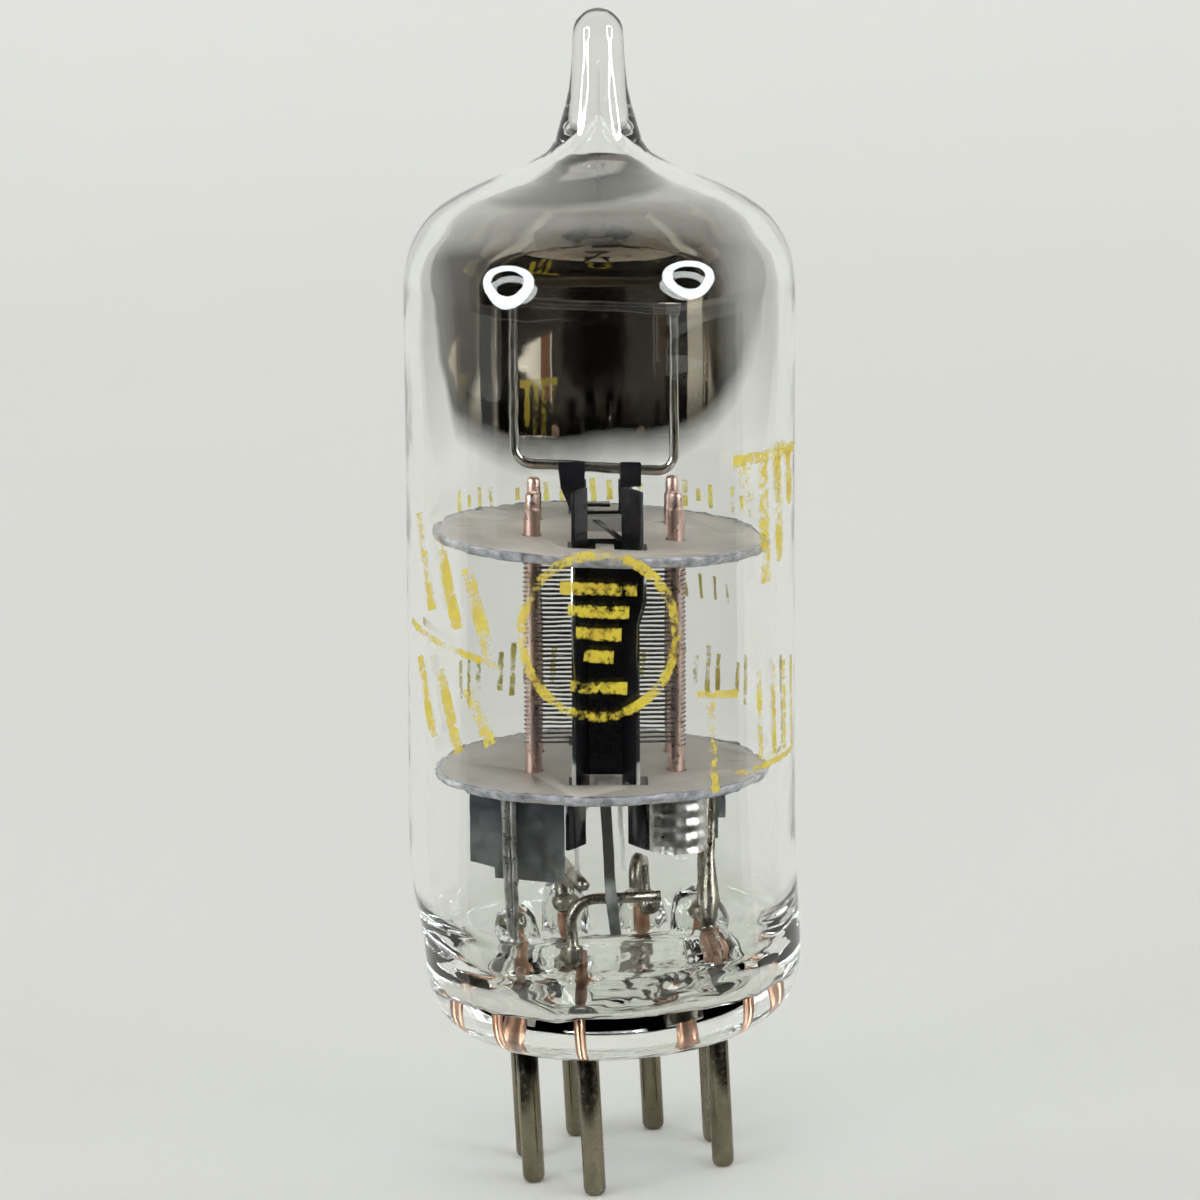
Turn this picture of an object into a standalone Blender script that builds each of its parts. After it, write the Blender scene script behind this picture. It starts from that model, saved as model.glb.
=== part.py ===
"""Twin triode valve on a seven pin miniature glass base, modelled as it is built.

The origin is on the surface that the pin tips stand on, below the middle of the tube, with +Z up and the
front towards -Y. The glass button, its pins and its leads stand upright. The bulb was sealed on a little out
of line, so the bulb and the cage of electrodes in it lean together. They are modelled in the bulb's own frame,
whose heights are measured from the same surface, and hang on the empty called bulb_axis.
"""

import math

import bmesh
import bpy
from mathutils import Matrix, Vector

for old in list(bpy.data.objects):
    bpy.data.objects.remove(old, do_unlink=True)

mm = 0.001
degree = math.pi / 180

# Glass base: a pressed button with seven of eight places round the circle taken by pins
seat_height = 6.85 * mm
pin_circle_radius = 4.7625 * mm
pin_radius = 0.508 * mm
pin_tip_flat_radius = 0.25 * mm
pin_tip_round = 0.3 * mm
pin_depth_in_glass = 0.75 * mm
pin_places = 8
pin_count = 7
first_pin_turn = 17.5 * degree
pin_circle_shift_x = -0.25 * mm
button_radius = 8.62 * mm
button_heel_radius = 2.1 * mm
button_thickness = 2.6 * mm
button_recess = 0.3 * mm
button_recess_width = 1.7 * mm
button_centre_drop = 0.15 * mm
button_land_width = 0.45 * mm
cup_wall = 1.25 * mm
cup_fillet = 1.1 * mm
seal_height = 12.1 * mm
boss_radius = 1.2 * mm
boss_top_radius = 0.72 * mm
boss_rise = 1.15 * mm
boss_rise_shares = (0.74, 0.7, 0.85, 1.0, 0.57, 0.85, 0.8)

# Bulb and its exhaust tip
bulb_radius = 8.78 * mm
bulb_base_radius = 8.92 * mm
bulb_wall = 0.85 * mm
shoulder_height = 41.1 * mm
dome_rise = 5.25 * mm
dome_corner_share = 0.784
tip_height = 53.6 * mm
tip_radius = 1.12 * mm
tip_root_radius = 2.0 * mm
tip_root_height = 47.6 * mm
tip_bore_radius = 0.8 * mm
tip_bore_height = 47.5 * mm
tip_bore_end_share = 0.7
tip_waist_share = 1.15
tip_foot_share = 0.82
neck_drop_share = 0.55
flare_radius = 1.4 * mm
bulb_lean_side = 2.8 * degree
bulb_lean_back = 2.2 * degree
lean_pivot_height = 28.0 * mm
bulb_shift_x = 0.12 * mm
bulb_shift_y = 0.1 * mm

# Clearances
seal_gap = 0.3 * mm
fit_gap = 0.1 * mm
weld_gap = 0.08 * mm
cut_overrun = 1.0 * mm
merge_distance = 0.001 * mm
sharp_angle = 35 * degree

# Mica spacers
mica_radius = 7.55 * mm
mica_thickness = 0.45 * mm
mica_top_height = 30.0 * mm
mica_bottom_height = 19.3 * mm
mica_top_tilt = 2.3 * degree
mica_tooth_count = 9
mica_tooth_depth = 0.16 * mm
mica_tooth_width = 1.9 * mm
mica_tooth_turn_share = 0.25
mica_slit_length = 0.7 * mm
mica_slit_width = 0.16 * mm
mica_slit_place = 6.2 * mm

# Cage: two grids and two anodes, back to back about one flat cathode
cage_shift_x = 0.14 * mm
cage_shift_y = 0.3 * mm
grid_rod_radius = 0.37 * mm
grid_rod_spacing = 6.42 * mm
grid_plane = 2.15 * mm
grid_rod_top_share = 0.185
grid_rod_bottom_share = 0.182
rod_neck_radius = 0.31 * mm
rod_neck_length = 0.75 * mm
grid_wire_radius = 0.045 * mm
grid_pitch = 0.21 * mm
winding_below_top_mica = 0.8 * mm
winding_above_bottom_mica = 1.2 * mm
winding_clearance = 0.03 * mm
cathode_width = 2.0 * mm
cathode_depth = 1.1 * mm
cathode_wall = 0.12 * mm
cathode_above_mica = 0.6 * mm
cathode_bottom_share = 0.08
anode_web_half = 0.81 * mm
anode_web_plane = 3.7 * mm
anode_depth = 2.0 * mm
anode_mouth_half = 1.4 * mm
anode_mouth_bent = 1.72 * mm
anode_bend_top_share = 0.785
anode_bend_bottom_share = 0.682
anode_sheet = 0.17 * mm
anode_web_bottom_share = 0.1215
anode_web_rise = 0.2 * mm
anode_post_share = 0.225
anode_rear_post_share = 0.149
anode_leg_share = 0.371
anode_post_bulge = 0.22 * mm
anode_flange_shares = (0, 0.3, 0.65, 1)
anode_leg_splay = 0.5 * mm
anode_leg_side = 0.1 * mm
heater_wire_radius = 0.13 * mm
heater_leg_share = 0.677
heater_bend_share = 0.386
heater_left_x = -1.28 * mm
heater_right_x = 0.86 * mm

# Getter, held above the cage on the rear anode
getter_wire_radius = 0.24 * mm
getter_width = 7.5 * mm
getter_bottom_share = 0.2
getter_top_share = 0.892
getter_corner = 0.8 * mm
getter_shift_x = -0.25 * mm
getter_plane = 3.6 * mm
getter_slope = math.tan(3.5 * degree)
getter_trough_width = 0.62 * mm
getter_trough_length = 8.6 * mm
getter_trough_wall = 0.14 * mm
getter_tab_width = 1.3 * mm
getter_tab_foot = 0.16 * mm
getter_tab_heel_share = 0.525
getter_tab_lap = 0.3 * mm

# Leads, ribbons and plates between the cage and the button
feed_radius = 0.3 * mm
feed_proud = 0.12 * mm
lead_radius = 0.25 * mm
fine_lead_radius = 0.17 * mm
bead_radius = 0.44 * mm
bead_side_shares = (-0.8, -0.7, -0.2, 0.0, 0.6, 0.0, -0.3)
ribbon_width = 0.49 * mm
ribbon_thickness = 0.12 * mm
ribbon_bottom_share = 0.939
cross_lead_share = 0.699
cross_lead_end_x = 2.0 * mm
cross_lead_turn = 0.9 * mm
hook_radius = 0.29 * mm
hook_bend = 0.45 * mm
hook_left_end = -1.5 * mm
hook_right_rise = 0.35 * mm
hook_right_drop = 1.2 * mm
grid_plate_left = -6.1 * mm
grid_plate_right = -1.85 * mm
grid_plate_step_x = -5.0 * mm
grid_plate_bottom_share = 0.709
grid_plate_slope = 0.3 * mm
grid_plate_step = 0.8 * mm
grid_plate_thickness = 0.18 * mm
grid_clip_radius = 1.2 * mm
grid_clip_wall = 0.14 * mm
grid_clip_bottom_share = 0.539
grid_clip_sweep = 205 * degree
grid_clip_bead = 0.07 * mm
grid_clip_bead_count = 4
rear_strip_left = 4.36 * mm
rear_strip_width = 0.34 * mm
rear_strip_bottom_share = 0.473
rear_strip_step = 0.95 * mm
strap_width = 0.35 * mm
strap_end_x = 0.75 * mm
strap_cross_share = 0.6
strap_thickness = 0.1 * mm
rear_strap_share = 0.0586
rear_strap_left = -1.2 * mm
rear_strap_right = 0.35 * mm
rear_strap_front = 2.2 * mm

# Faces round turned parts and wires
bulb_steps = 36
button_steps = 36
wire_rounding = 1
pin_steps = 14
seal_wire_steps = 10
mica_steps = 40
winding_sides = 3
winding_corner_points = 4
tip_points = 4
dome_points = 8
heel_points = 6
fillet_points = 4
tube_end_points = 6
clip_points = 14
bead_segments = 10
bead_rings = 6
getter_corner_points = 4


def surface(name, colour, roughness, metallic):
    """A plain surface of one colour."""
    made = bpy.data.materials.new(name)
    made.use_nodes = True
    shader = made.node_tree.nodes["Principled BSDF"]
    shader.inputs["Base Color"].default_value = (*colour, 1.0)
    shader.inputs["Roughness"].default_value = roughness
    shader.inputs["Metallic"].default_value = metallic
    return made


glass = surface("clear glass", (0.86, 0.88, 0.85), 0.05, 0.0)
mica = surface("mica", (0.36, 0.33, 0.29), 0.4, 0.0)
nickel = surface("bright nickel", (0.62, 0.6, 0.56), 0.25, 1.0)
dull_nickel = surface("dull nickel", (0.2, 0.18, 0.15), 0.45, 1.0)
carbonised = surface("carbonised nickel", (0.012, 0.012, 0.012), 0.45, 0.0)
copper = surface("copper rod", (0.62, 0.37, 0.29), 0.3, 1.0)
copper_seal = surface("copper seal wire", (0.66, 0.33, 0.2), 0.35, 1.0)
oxide = surface("oxide coating", (0.75, 0.75, 0.72), 0.8, 0.0)


def frame_empty(name, parent=None):
    """An empty that pieces hang on."""
    empty = bpy.data.objects.new(name, None)
    bpy.context.collection.objects.link(empty)
    empty.parent = parent
    return empty


def mesh_object(name, shape, parent=None, finish=None, smooth=True):
    """Link a bmesh as an object, shaded smooth but for its real edges."""
    mesh = bpy.data.meshes.new(name)
    bmesh.ops.recalc_face_normals(shape, faces=shape.faces)
    shape.to_mesh(mesh)
    shape.free()
    if smooth:
        mesh.shade_smooth()
        mesh.set_sharp_from_angle(angle=sharp_angle)
    made = bpy.data.objects.new(name, mesh)
    bpy.context.collection.objects.link(made)
    made.parent = parent
    if finish:
        made.data.materials.append(finish)
    return made


def cutter(made):
    """Mark an object as a guide that only cuts others."""
    made.hide_render = True
    made.display_type = "WIRE"
    return made


def boolean(target, other, operation):
    """Cut or join one object with another."""
    step = target.modifiers.new(operation.lower(), "BOOLEAN")
    step.operation = operation
    step.solver = "EXACT"
    step.use_self = operation == "DIFFERENCE"
    step.object = other


def turned(name, profile, steps, parent, finish):
    """Turn a profile of (radius, height) pairs, given down the outside, about the Z axis."""
    shape = bmesh.new()
    points = [shape.verts.new((radius, 0, height)) for radius, height in profile]
    for first, second in zip(points, points[1:]):
        shape.edges.new((first, second))
    mesh = bpy.data.meshes.new(name)
    shape.to_mesh(mesh)
    shape.free()
    made = bpy.data.objects.new(name, mesh)
    bpy.context.collection.objects.link(made)
    made.parent = parent
    screw = made.modifiers.new("turn", "SCREW")
    screw.steps = steps
    screw.render_steps = steps
    screw.use_merge_vertices = True
    screw.merge_threshold = merge_distance
    screw.use_smooth_shade = True
    if finish:
        made.data.materials.append(finish)
    return made


def arc(centre_radius, centre_height, size_radius, size_height, start, end, count, power=1):
    """Points of an elliptic arc in a turned profile, by angles from straight up; a power under one squares it."""
    angles = [start + (end - start) * i / count for i in range(count + 1)]
    return [
        (centre_radius + size_radius * math.sin(a) ** power, centre_height + size_height * math.cos(a) ** power)
        for a in angles
    ]


def prism(shape, outline, low, high):
    """Add a closed prism over an outline of (x, y) pairs."""
    bottom = [shape.verts.new((x, y, low)) for x, y in outline]
    top = [shape.verts.new((x, y, high)) for x, y in outline]
    count = len(outline)
    shape.faces.new(bottom[::-1])
    shape.faces.new(top)
    for i in range(count):
        j = (i + 1) % count
        shape.faces.new((bottom[i], bottom[j], top[j], top[i]))


def rectangle(x, y, half_x, half_y):
    """The outline of a rectangle about a middle."""
    return [(x - half_x, y - half_y), (x + half_x, y - half_y), (x + half_x, y + half_y), (x - half_x, y + half_y)]


def ring(x, y, radius, count):
    """The outline of a round."""
    turns = [2 * math.pi * i / count for i in range(count)]
    return [(x + radius * math.cos(a), y + radius * math.sin(a)) for a in turns]


def smooth_route(points, per_span):
    """Read a smooth curve through the points of a route."""
    ends = [2 * points[0] - points[1], *points, 2 * points[-1] - points[-2]]
    route = []
    for a, b, c, d in zip(ends, ends[1:], ends[2:], ends[3:]):
        for i in range(per_span):
            t = i / per_span
            route.append(
                0.5 * (2 * b + (c - a) * t + (2 * a - 5 * b + 4 * c - d) * t**2 + (3 * b - a - 3 * c + d) * t**3)
            )
    return [*route, points[-1]]


def wire(name, route, radius, parent, finish):
    """A round wire along a route, as a mesh with capped ends."""
    curve = bpy.data.curves.new(name, "CURVE")
    curve.dimensions = "3D"
    curve.bevel_depth = radius
    curve.bevel_resolution = wire_rounding
    curve.use_fill_caps = True
    spline = curve.splines.new("POLY")
    spline.points.add(len(route) - 1)
    for point, place in zip(spline.points, route):
        point.co = (*place, 1.0)
    drawn = bpy.data.objects.new(name + "_path", curve)
    bpy.context.collection.objects.link(drawn)
    mesh = bpy.data.meshes.new_from_object(drawn.evaluated_get(bpy.context.evaluated_depsgraph_get()))
    bpy.data.objects.remove(drawn, do_unlink=True)
    shape = bmesh.new()
    shape.from_mesh(mesh)
    bmesh.ops.remove_doubles(shape, verts=shape.verts, dist=merge_distance)
    return mesh_object(name, shape, parent, finish)


def strip(name, route, width_way, width, thickness, parent, finish):
    """A flat ribbon along a route, its width lying along one direction."""
    shape = bmesh.new()
    half = width_way.normalized() * width / 2
    rows = [(shape.verts.new(place - half), shape.verts.new(place + half)) for place in route]
    for (a, b), (c, d) in zip(rows, rows[1:]):
        shape.faces.new((a, b, d, c))
    made = mesh_object(name, shape, parent, finish, smooth=False)
    thicken(made, thickness)
    return made


def thicken(made, thickness):
    """Give a sheet its thickness, half to each side."""
    solid = made.modifiers.new("sheet", "SOLIDIFY")
    solid.thickness = thickness
    solid.offset = 0
    solid.use_even_offset = True


def pin_place(index):
    """The middle of one pin on the circle, counted clockwise from the front as seen from above."""
    turn = first_pin_turn + 2 * math.pi * index / pin_places
    x = pin_circle_shift_x - pin_circle_radius * math.sin(turn)
    y = bulb_shift_y - pin_circle_radius * math.cos(turn)
    return Vector((x, y, 0))


# Frames that pieces hang on: the upright button, the leaning bulb and the cage set in it
button_axis = frame_empty("button_axis")
button_axis.location = (pin_circle_shift_x, bulb_shift_y, 0)
bulb_axis = frame_empty("bulb_axis")
pivot = Vector((bulb_shift_x, bulb_shift_y, lean_pivot_height))
lean = Matrix.Rotation(bulb_lean_side, 4, "Y") @ Matrix.Rotation(-bulb_lean_back, 4, "X")
bulb_matrix = Matrix.Translation(pivot) @ lean @ Matrix.Translation((0, 0, -lean_pivot_height))
bulb_axis.matrix_world = bulb_matrix
cage = frame_empty("cage", bulb_axis)
cage.location = (cage_shift_x, cage_shift_y, 0)
cage_matrix = bulb_matrix @ Matrix.Translation(cage.location)


def from_cage(x, y, z):
    """A place given in the cage's frame, as the upright button's pieces see it."""
    return cage_matrix @ Vector((x, y, z))


# Heights that several pieces share
button_bottom = seat_height + button_recess
button_floor = button_bottom + button_thickness
boss_tops = [button_floor + boss_rise * share for share in boss_rise_shares]
feed_tops = [top + feed_proud for top in boss_tops]
bead_heights = [top + weld_gap + bead_radius for top in feed_tops]
pin_top = button_bottom + pin_depth_in_glass
feed_bottom = pin_top + weld_gap
mica_top_underside = mica_top_height - mica_thickness
mica_bottom_underside = mica_bottom_height - mica_thickness


def between_micas(share):
    """A height in the cage, as a share of the way up from the bottom mica to the top one."""
    return mica_bottom_height + (mica_top_height - mica_bottom_height) * share


def above_cage(share):
    """A height above the top mica, as a share of the way up to the bulb's shoulder."""
    return mica_top_height + (shoulder_height - mica_top_height) * share


def below_cage(share):
    """A height below the bottom mica, as a share of the way down to the tops of the weld beads."""
    return mica_bottom_underside - (mica_bottom_underside - max(bead_heights) - bead_radius) * share


anode_web_bottom = between_micas(anode_web_bottom_share)
anode_bend_bottom = between_micas(anode_bend_bottom_share)
anode_bend_top = between_micas(anode_bend_top_share)
winding_top = mica_top_height - winding_below_top_mica
winding_bottom = mica_bottom_height + winding_above_bottom_mica
grid_rod_top = above_cage(grid_rod_top_share)
grid_rod_bottom = below_cage(grid_rod_bottom_share)
cathode_top = mica_top_height + cathode_above_mica
cathode_bottom = below_cage(cathode_bottom_share)
anode_post_top = above_cage(anode_post_share)
anode_rear_post_top = above_cage(anode_rear_post_share)
anode_leg_bottom = below_cage(anode_leg_share)
heater_leg_bottom = below_cage(heater_leg_share)
heater_bend = below_cage(heater_bend_share)
getter_bottom = above_cage(getter_bottom_share)
getter_top = above_cage(getter_top_share)
rear_strap_height = above_cage(rear_strap_share)
cross_lead_height = below_cage(cross_lead_share)
ribbon_bottom = below_cage(ribbon_bottom_share)
grid_plate_bottom = below_cage(grid_plate_bottom_share)
grid_clip_bottom = below_cage(grid_clip_bottom_share)
rear_strip_bottom = below_cage(rear_strip_bottom_share)


def make_button():
    """The pressed glass base: a cup with a round heel, a recess round the pins and a boss for each lead."""
    heel_middle = seat_height + button_heel_radius
    land_outer = button_radius - button_heel_radius
    land_inner = land_outer - button_land_width
    centre_radius = land_inner - button_recess - button_recess_width
    cup_radius = button_radius - cup_wall
    fillet = arc(0, 0, cup_fillet, cup_fillet, 0, math.pi / 2, fillet_points)
    profile = [
        (0, button_floor),
        *[(cup_radius - cup_fillet + x, button_floor + cup_fillet - z) for x, z in fillet],
        (cup_radius, seal_height),
        (button_radius, seal_height),
        *arc(land_outer, heel_middle, button_heel_radius, button_heel_radius, math.pi / 2, math.pi, heel_points),
        (land_inner, seat_height),
        (land_inner - button_recess, button_bottom),
        (centre_radius, button_bottom),
        (centre_radius - button_centre_drop, button_bottom - button_centre_drop),
        (0, button_bottom - button_centre_drop),
    ]
    button = turned("stem_button", profile, button_steps, button_axis, glass)
    bosses = bmesh.new()
    holes = bmesh.new()
    for index in range(pin_count):
        place = pin_place(index)
        foot = button_floor - button_thickness / 2
        top = boss_tops[index]
        rows = ((boss_radius, foot), (boss_radius, (2 * button_floor + top) / 3), (boss_top_radius, top))
        stack(bosses, place.x, place.y, rows, pin_steps)
        wide = pin_radius + fit_gap
        narrow = feed_radius + fit_gap
        step = pin_top + fit_gap / 2
        rows = (
            (wide, seat_height - cut_overrun),
            (wide, step),
            (narrow, step + fit_gap / 2),
            (narrow, top + cut_overrun),
        )
        stack(holes, place.x, place.y, rows, pin_steps)
    boolean(button, cutter(mesh_object("boss_shapes", bosses)), "UNION")
    boolean(button, cutter(mesh_object("pin_holes", holes)), "DIFFERENCE")


def stack(shape, x, y, rows, count):
    """Add a closed round solid whose rows are (radius, height) pairs, bottom first."""
    rings = [
        [shape.verts.new((px, py, height)) for px, py in ring(x, y, radius, count)] for radius, height in rows
    ]
    shape.faces.new(rings[0][::-1])
    shape.faces.new(rings[-1])
    for low, high in zip(rings, rings[1:]):
        for i in range(count):
            j = (i + 1) % count
            shape.faces.new((low[i], low[j], high[j], high[i]))


def make_pins():
    """Seven hard pins with rounded tips, each with its copper seal wire above it in the glass."""
    for index in range(pin_count):
        place = pin_place(index)
        shape = bmesh.new()
        rows = (
            (pin_tip_flat_radius, 0),
            ((pin_tip_flat_radius + 2 * pin_radius) / 3, pin_tip_round / 3),
            (pin_radius, pin_tip_round),
            (pin_radius, pin_top),
        )
        stack(shape, place.x, place.y, rows, pin_steps)
        mesh_object(f"pin_{index + 1}", shape, None, dull_nickel)
        shape = bmesh.new()
        rows = ((feed_radius, feed_bottom), (feed_radius, feed_tops[index]))
        stack(shape, place.x, place.y, rows, seal_wire_steps)
        mesh_object(f"seal_wire_{index + 1}", shape, None, copper_seal)


def make_bulb():
    """The blown bulb: a thin tube, drawn down to the sealed exhaust tip, open where the button closes it."""
    dome_radius = bulb_radius
    neck = tip_root_radius + flare_radius
    dome_end = math.asin((neck / dome_radius) ** (1 / dome_corner_share))
    outer = [
        (0, tip_height),
        *arc(0, tip_height - tip_radius, tip_radius, tip_radius, math.pi / 8, math.pi / 2, tip_points),
        (tip_radius * tip_waist_share, (tip_height + tip_root_height) / 2),
        (tip_root_radius * tip_foot_share, tip_root_height + flare_radius),
        (tip_root_radius, tip_root_height),
        ((tip_root_radius + neck) / 2 + flare_radius / 6, tip_root_height - flare_radius * neck_drop_share),
        *arc(0, shoulder_height, dome_radius, dome_rise, dome_end, math.pi / 2, dome_points, dome_corner_share),
        (bulb_base_radius, seal_height - cut_overrun),
    ]
    inner_radius = bulb_base_radius - bulb_wall
    dome_inner = dome_radius - bulb_wall
    inner_neck = tip_bore_radius + flare_radius
    inner_end = math.asin((inner_neck / dome_inner) ** (1 / dome_corner_share))
    inner_rise = dome_rise - bulb_wall
    ends = (inner_end, math.pi / 2)
    inner_dome = arc(0, shoulder_height, dome_inner, inner_rise, *ends, dome_points, dome_corner_share)
    inner = [
        (inner_radius, seal_height - cut_overrun),
        *inner_dome[::-1],
        (tip_bore_radius, tip_bore_height - flare_radius / 2),
        (tip_bore_radius * tip_bore_end_share, tip_bore_height),
        (0, tip_bore_height),
    ]
    bulb = turned("bulb_glass", [*outer, *inner], bulb_steps, bulb_axis, glass)
    trim = bmesh.new()
    reach = bulb_base_radius + bulb_base_radius
    prism(trim, rectangle(0, 0, reach, reach), 0, seal_height + seal_gap)
    boolean(bulb, cutter(mesh_object("bulb_trim", trim)), "DIFFERENCE")


def anode_section(bent_share):
    """One side of an anode seen from above: the flange's edge, its corner with the web and the bow of a post."""
    mouth = anode_mouth_half + (anode_mouth_bent - anode_mouth_half) * bent_share
    edge = Vector((mouth, anode_depth))
    corner = Vector((anode_web_half, 0))
    bow = (corner - edge).orthogonal().normalized() * anode_post_bulge
    return edge, corner, bow


def make_anode(name, side, post_top, bent):
    """A folded sheet: a web by the grid, two flanges turned outwards, posts above and legs below the micas."""
    above = mica_top_underside - fit_gap
    below = mica_bottom_height + fit_gap
    levels = [
        (anode_leg_bottom, 0, "splayed leg"),
        (mica_bottom_underside - mica_thickness, 0, "splayed leg"),
        (mica_bottom_underside - fit_gap, 0, "leg"),
        (below, 0, "full"),
        (anode_web_bottom, 0, "web"),
        (anode_bend_bottom, 0, "web"),
        (anode_bend_top, 1, "web"),
        (above, 1, "top"),
        (mica_top_height + anode_web_rise, 1, "post"),
        (post_top, 1, "post"),
    ]
    shape = bmesh.new()
    rows = []
    for height, bend, kind in levels:
        row = []
        for way in (-1, 1):
            edge, corner, bow = anode_section(bend if bent and way > 0 else 0)
            curl = 1 if kind == "post" else 0
            points = []
            for share in anode_flange_shares:
                place = edge.lerp(corner, share) + bow * curl * math.sin(math.pi * share)
                if bent and kind == "splayed leg":
                    place.x += anode_leg_splay * (1 + anode_flange_shares[1] - share)
                    place.x += anode_leg_side if way > 0 else 0
                points.append((way * place.x, side * (anode_web_plane + place.y), height))
            row.extend(points if way < 0 else points[::-1])
        rows.append([shape.verts.new(place) for place in row])
    columns = len(rows[0]) - 1
    for (low, high), (height, bend, kind) in zip(zip(rows, rows[1:]), levels):
        for column in range(columns):
            in_web = column == columns // 2
            flange_edge = column in (0, columns - 1)
            if in_web and kind not in ("web", "top"):
                continue
            if flange_edge and kind not in ("full", "web"):
                continue
            shape.faces.new((low[column], low[column + 1], high[column + 1], high[column]))
    loose = [vert for vert in shape.verts if not vert.link_faces]
    bmesh.ops.delete(shape, geom=loose, context="VERTS")
    made = mesh_object(name, shape, cage, carbonised)
    thicken(made, anode_sheet)


def anode_slots(shape, side, bent):
    """Slots in the micas for one anode: its web and posts go through the top, its legs through the bottom."""
    edge, corner, bow = anode_section(1 if bent else 0)
    straight = anode_section(0)[0]
    room = anode_sheet / 2 + fit_gap
    reach = anode_post_bulge + room
    for way, mouth in ((-1, straight), (1, edge)):
        low = corner.x - reach
        high = mouth.lerp(corner, anode_flange_shares[1]).x + reach
        depth = anode_depth * (1 - anode_flange_shares[1])
        middle = side * (anode_web_plane + depth / 2)
        slot = rectangle(way * (low + high) / 2, middle, (high - low) / 2, depth / 2 + room)
        prism(shape, slot, mica_bottom_underside - cut_overrun, mica_bottom_height + cut_overrun)
        prism(shape, slot, mica_top_underside - cut_overrun, mica_top_height + cut_overrun)
    web = rectangle(0, side * anode_web_plane, anode_web_half, room)
    prism(shape, web, mica_top_underside - cut_overrun, mica_top_height + cut_overrun)


def make_micas():
    """Two round mica spacers with toothed rims, pierced for every rod, sheet and tube that they locate."""
    holes = bmesh.new()
    low = mica_bottom_underside - cut_overrun
    high = mica_top_height + cut_overrun
    for x in (-grid_rod_spacing / 2, grid_rod_spacing / 2):
        for y in (-grid_plane, grid_plane):
            prism(holes, ring(x, y, grid_rod_radius + fit_gap, seal_wire_steps), low, high)
    prism(holes, rectangle(0, 0, cathode_width / 2 + fit_gap, cathode_depth / 2 + fit_gap), low, high)
    first = cutter(mesh_object("rod_holes", holes, cage))
    slots = bmesh.new()
    anode_slots(slots, -1, True)
    second = cutter(mesh_object("anode_slots_front", slots, cage))
    slots = bmesh.new()
    anode_slots(slots, 1, False)
    third = cutter(mesh_object("anode_slots_rear", slots, cage))
    for name, height, tilt in (
        ("mica_top", mica_top_height, mica_top_tilt),
        ("mica_bottom", mica_bottom_height, 0),
    ):
        shape = bmesh.new()
        prism(shape, ring(0, 0, mica_radius, mica_steps), -mica_thickness, 0)
        plate = mesh_object(name, shape, bulb_axis, mica, smooth=False)
        plate.location = (0, 0, height)
        plate.rotation_euler = (0, tilt, 0)
        notches = bmesh.new()
        for index in range(mica_tooth_count):
            turn = Matrix.Rotation(2 * math.pi * (index + mica_tooth_turn_share) / mica_tooth_count, 4, "Z")
            outline = rectangle(mica_radius, 0, mica_tooth_depth, mica_tooth_width / 2)
            notch = [(turn @ Vector((x, y, 0))).to_2d() for x, y in outline]
            prism(notches, notch, -mica_thickness - cut_overrun, cut_overrun)
        for side in (-1, 1):
            slit = rectangle(side * mica_slit_place, 0, mica_slit_length / 2, mica_slit_width / 2)
            prism(notches, slit, -mica_thickness - cut_overrun, cut_overrun)
        guide = cutter(mesh_object(name + "_notches", notches, bulb_axis))
        guide.location = plate.location
        guide.rotation_euler = plate.rotation_euler
        for other in (guide, first, second, third):
            boolean(plate, other, "DIFFERENCE")


def make_grid_rods():
    """Four copper side rods, two for each grid, necked at the top."""
    for y, place in ((-grid_plane, "front"), (grid_plane, "rear")):
        for x, hand in ((-grid_rod_spacing / 2, "left"), (grid_rod_spacing / 2, "right")):
            shape = bmesh.new()
            neck = grid_rod_top - rod_neck_length
            rows = (
                (grid_rod_radius, grid_rod_bottom),
                (grid_rod_radius, neck),
                (rod_neck_radius, neck + (grid_rod_radius - rod_neck_radius)),
                (rod_neck_radius, grid_rod_top - (grid_rod_radius - rod_neck_radius)),
                (2 * rod_neck_radius - grid_rod_radius, grid_rod_top),
            )
            stack(shape, x, y, rows, pin_steps)
            mesh_object(f"grid_{place}_rod_{hand}", shape, cage, copper)


def winding_route(plane):
    """The helix of a grid: flat runs between the side rods and half turns round each of them."""
    turns = int((winding_top - winding_bottom) / grid_pitch)
    half_step = math.pi / 2 / (winding_corner_points - 1)
    reach = (grid_rod_radius + winding_clearance + grid_wire_radius) / math.cos(half_step)
    half = grid_rod_spacing / 2
    per_turn = 2 * winding_corner_points
    route = []
    for step in range(turns * per_turn + 1):
        place = step % per_turn
        side = 1 if place < winding_corner_points else -1
        share = (place % winding_corner_points) / (winding_corner_points - 1)
        angle = side * (share - 0.5) * math.pi if side > 0 else math.pi / 2 + share * math.pi
        x = side * half + reach * math.cos(angle)
        y = plane + reach * math.sin(angle)
        route.append(Vector((x, y, winding_bottom + grid_pitch * step / per_turn)))
    return route


def make_winding(name, plane):
    """One continuous fine wire wound round both side rods of a grid."""
    route = winding_route(plane)
    shape = bmesh.new()
    rings = []
    for index, place in enumerate(route):
        ahead = route[min(index + 1, len(route) - 1)] - route[max(index - 1, 0)]
        out = ahead.cross(Vector((0, 0, 1))).normalized()
        up = out.cross(ahead).normalized()
        angles = [2 * math.pi * (i + 0.5) / winding_sides for i in range(winding_sides)]
        rings.append(
            [shape.verts.new(place + grid_wire_radius * (math.cos(a) * out + math.sin(a) * up)) for a in angles]
        )
    shape.faces.new(rings[0])
    shape.faces.new(rings[-1][::-1])
    for low, high in zip(rings, rings[1:]):
        for i in range(winding_sides):
            j = (i + 1) % winding_sides
            shape.faces.new((low[i], high[i], high[j], low[j]))
    mesh_object(name, shape, cage, nickel)


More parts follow.
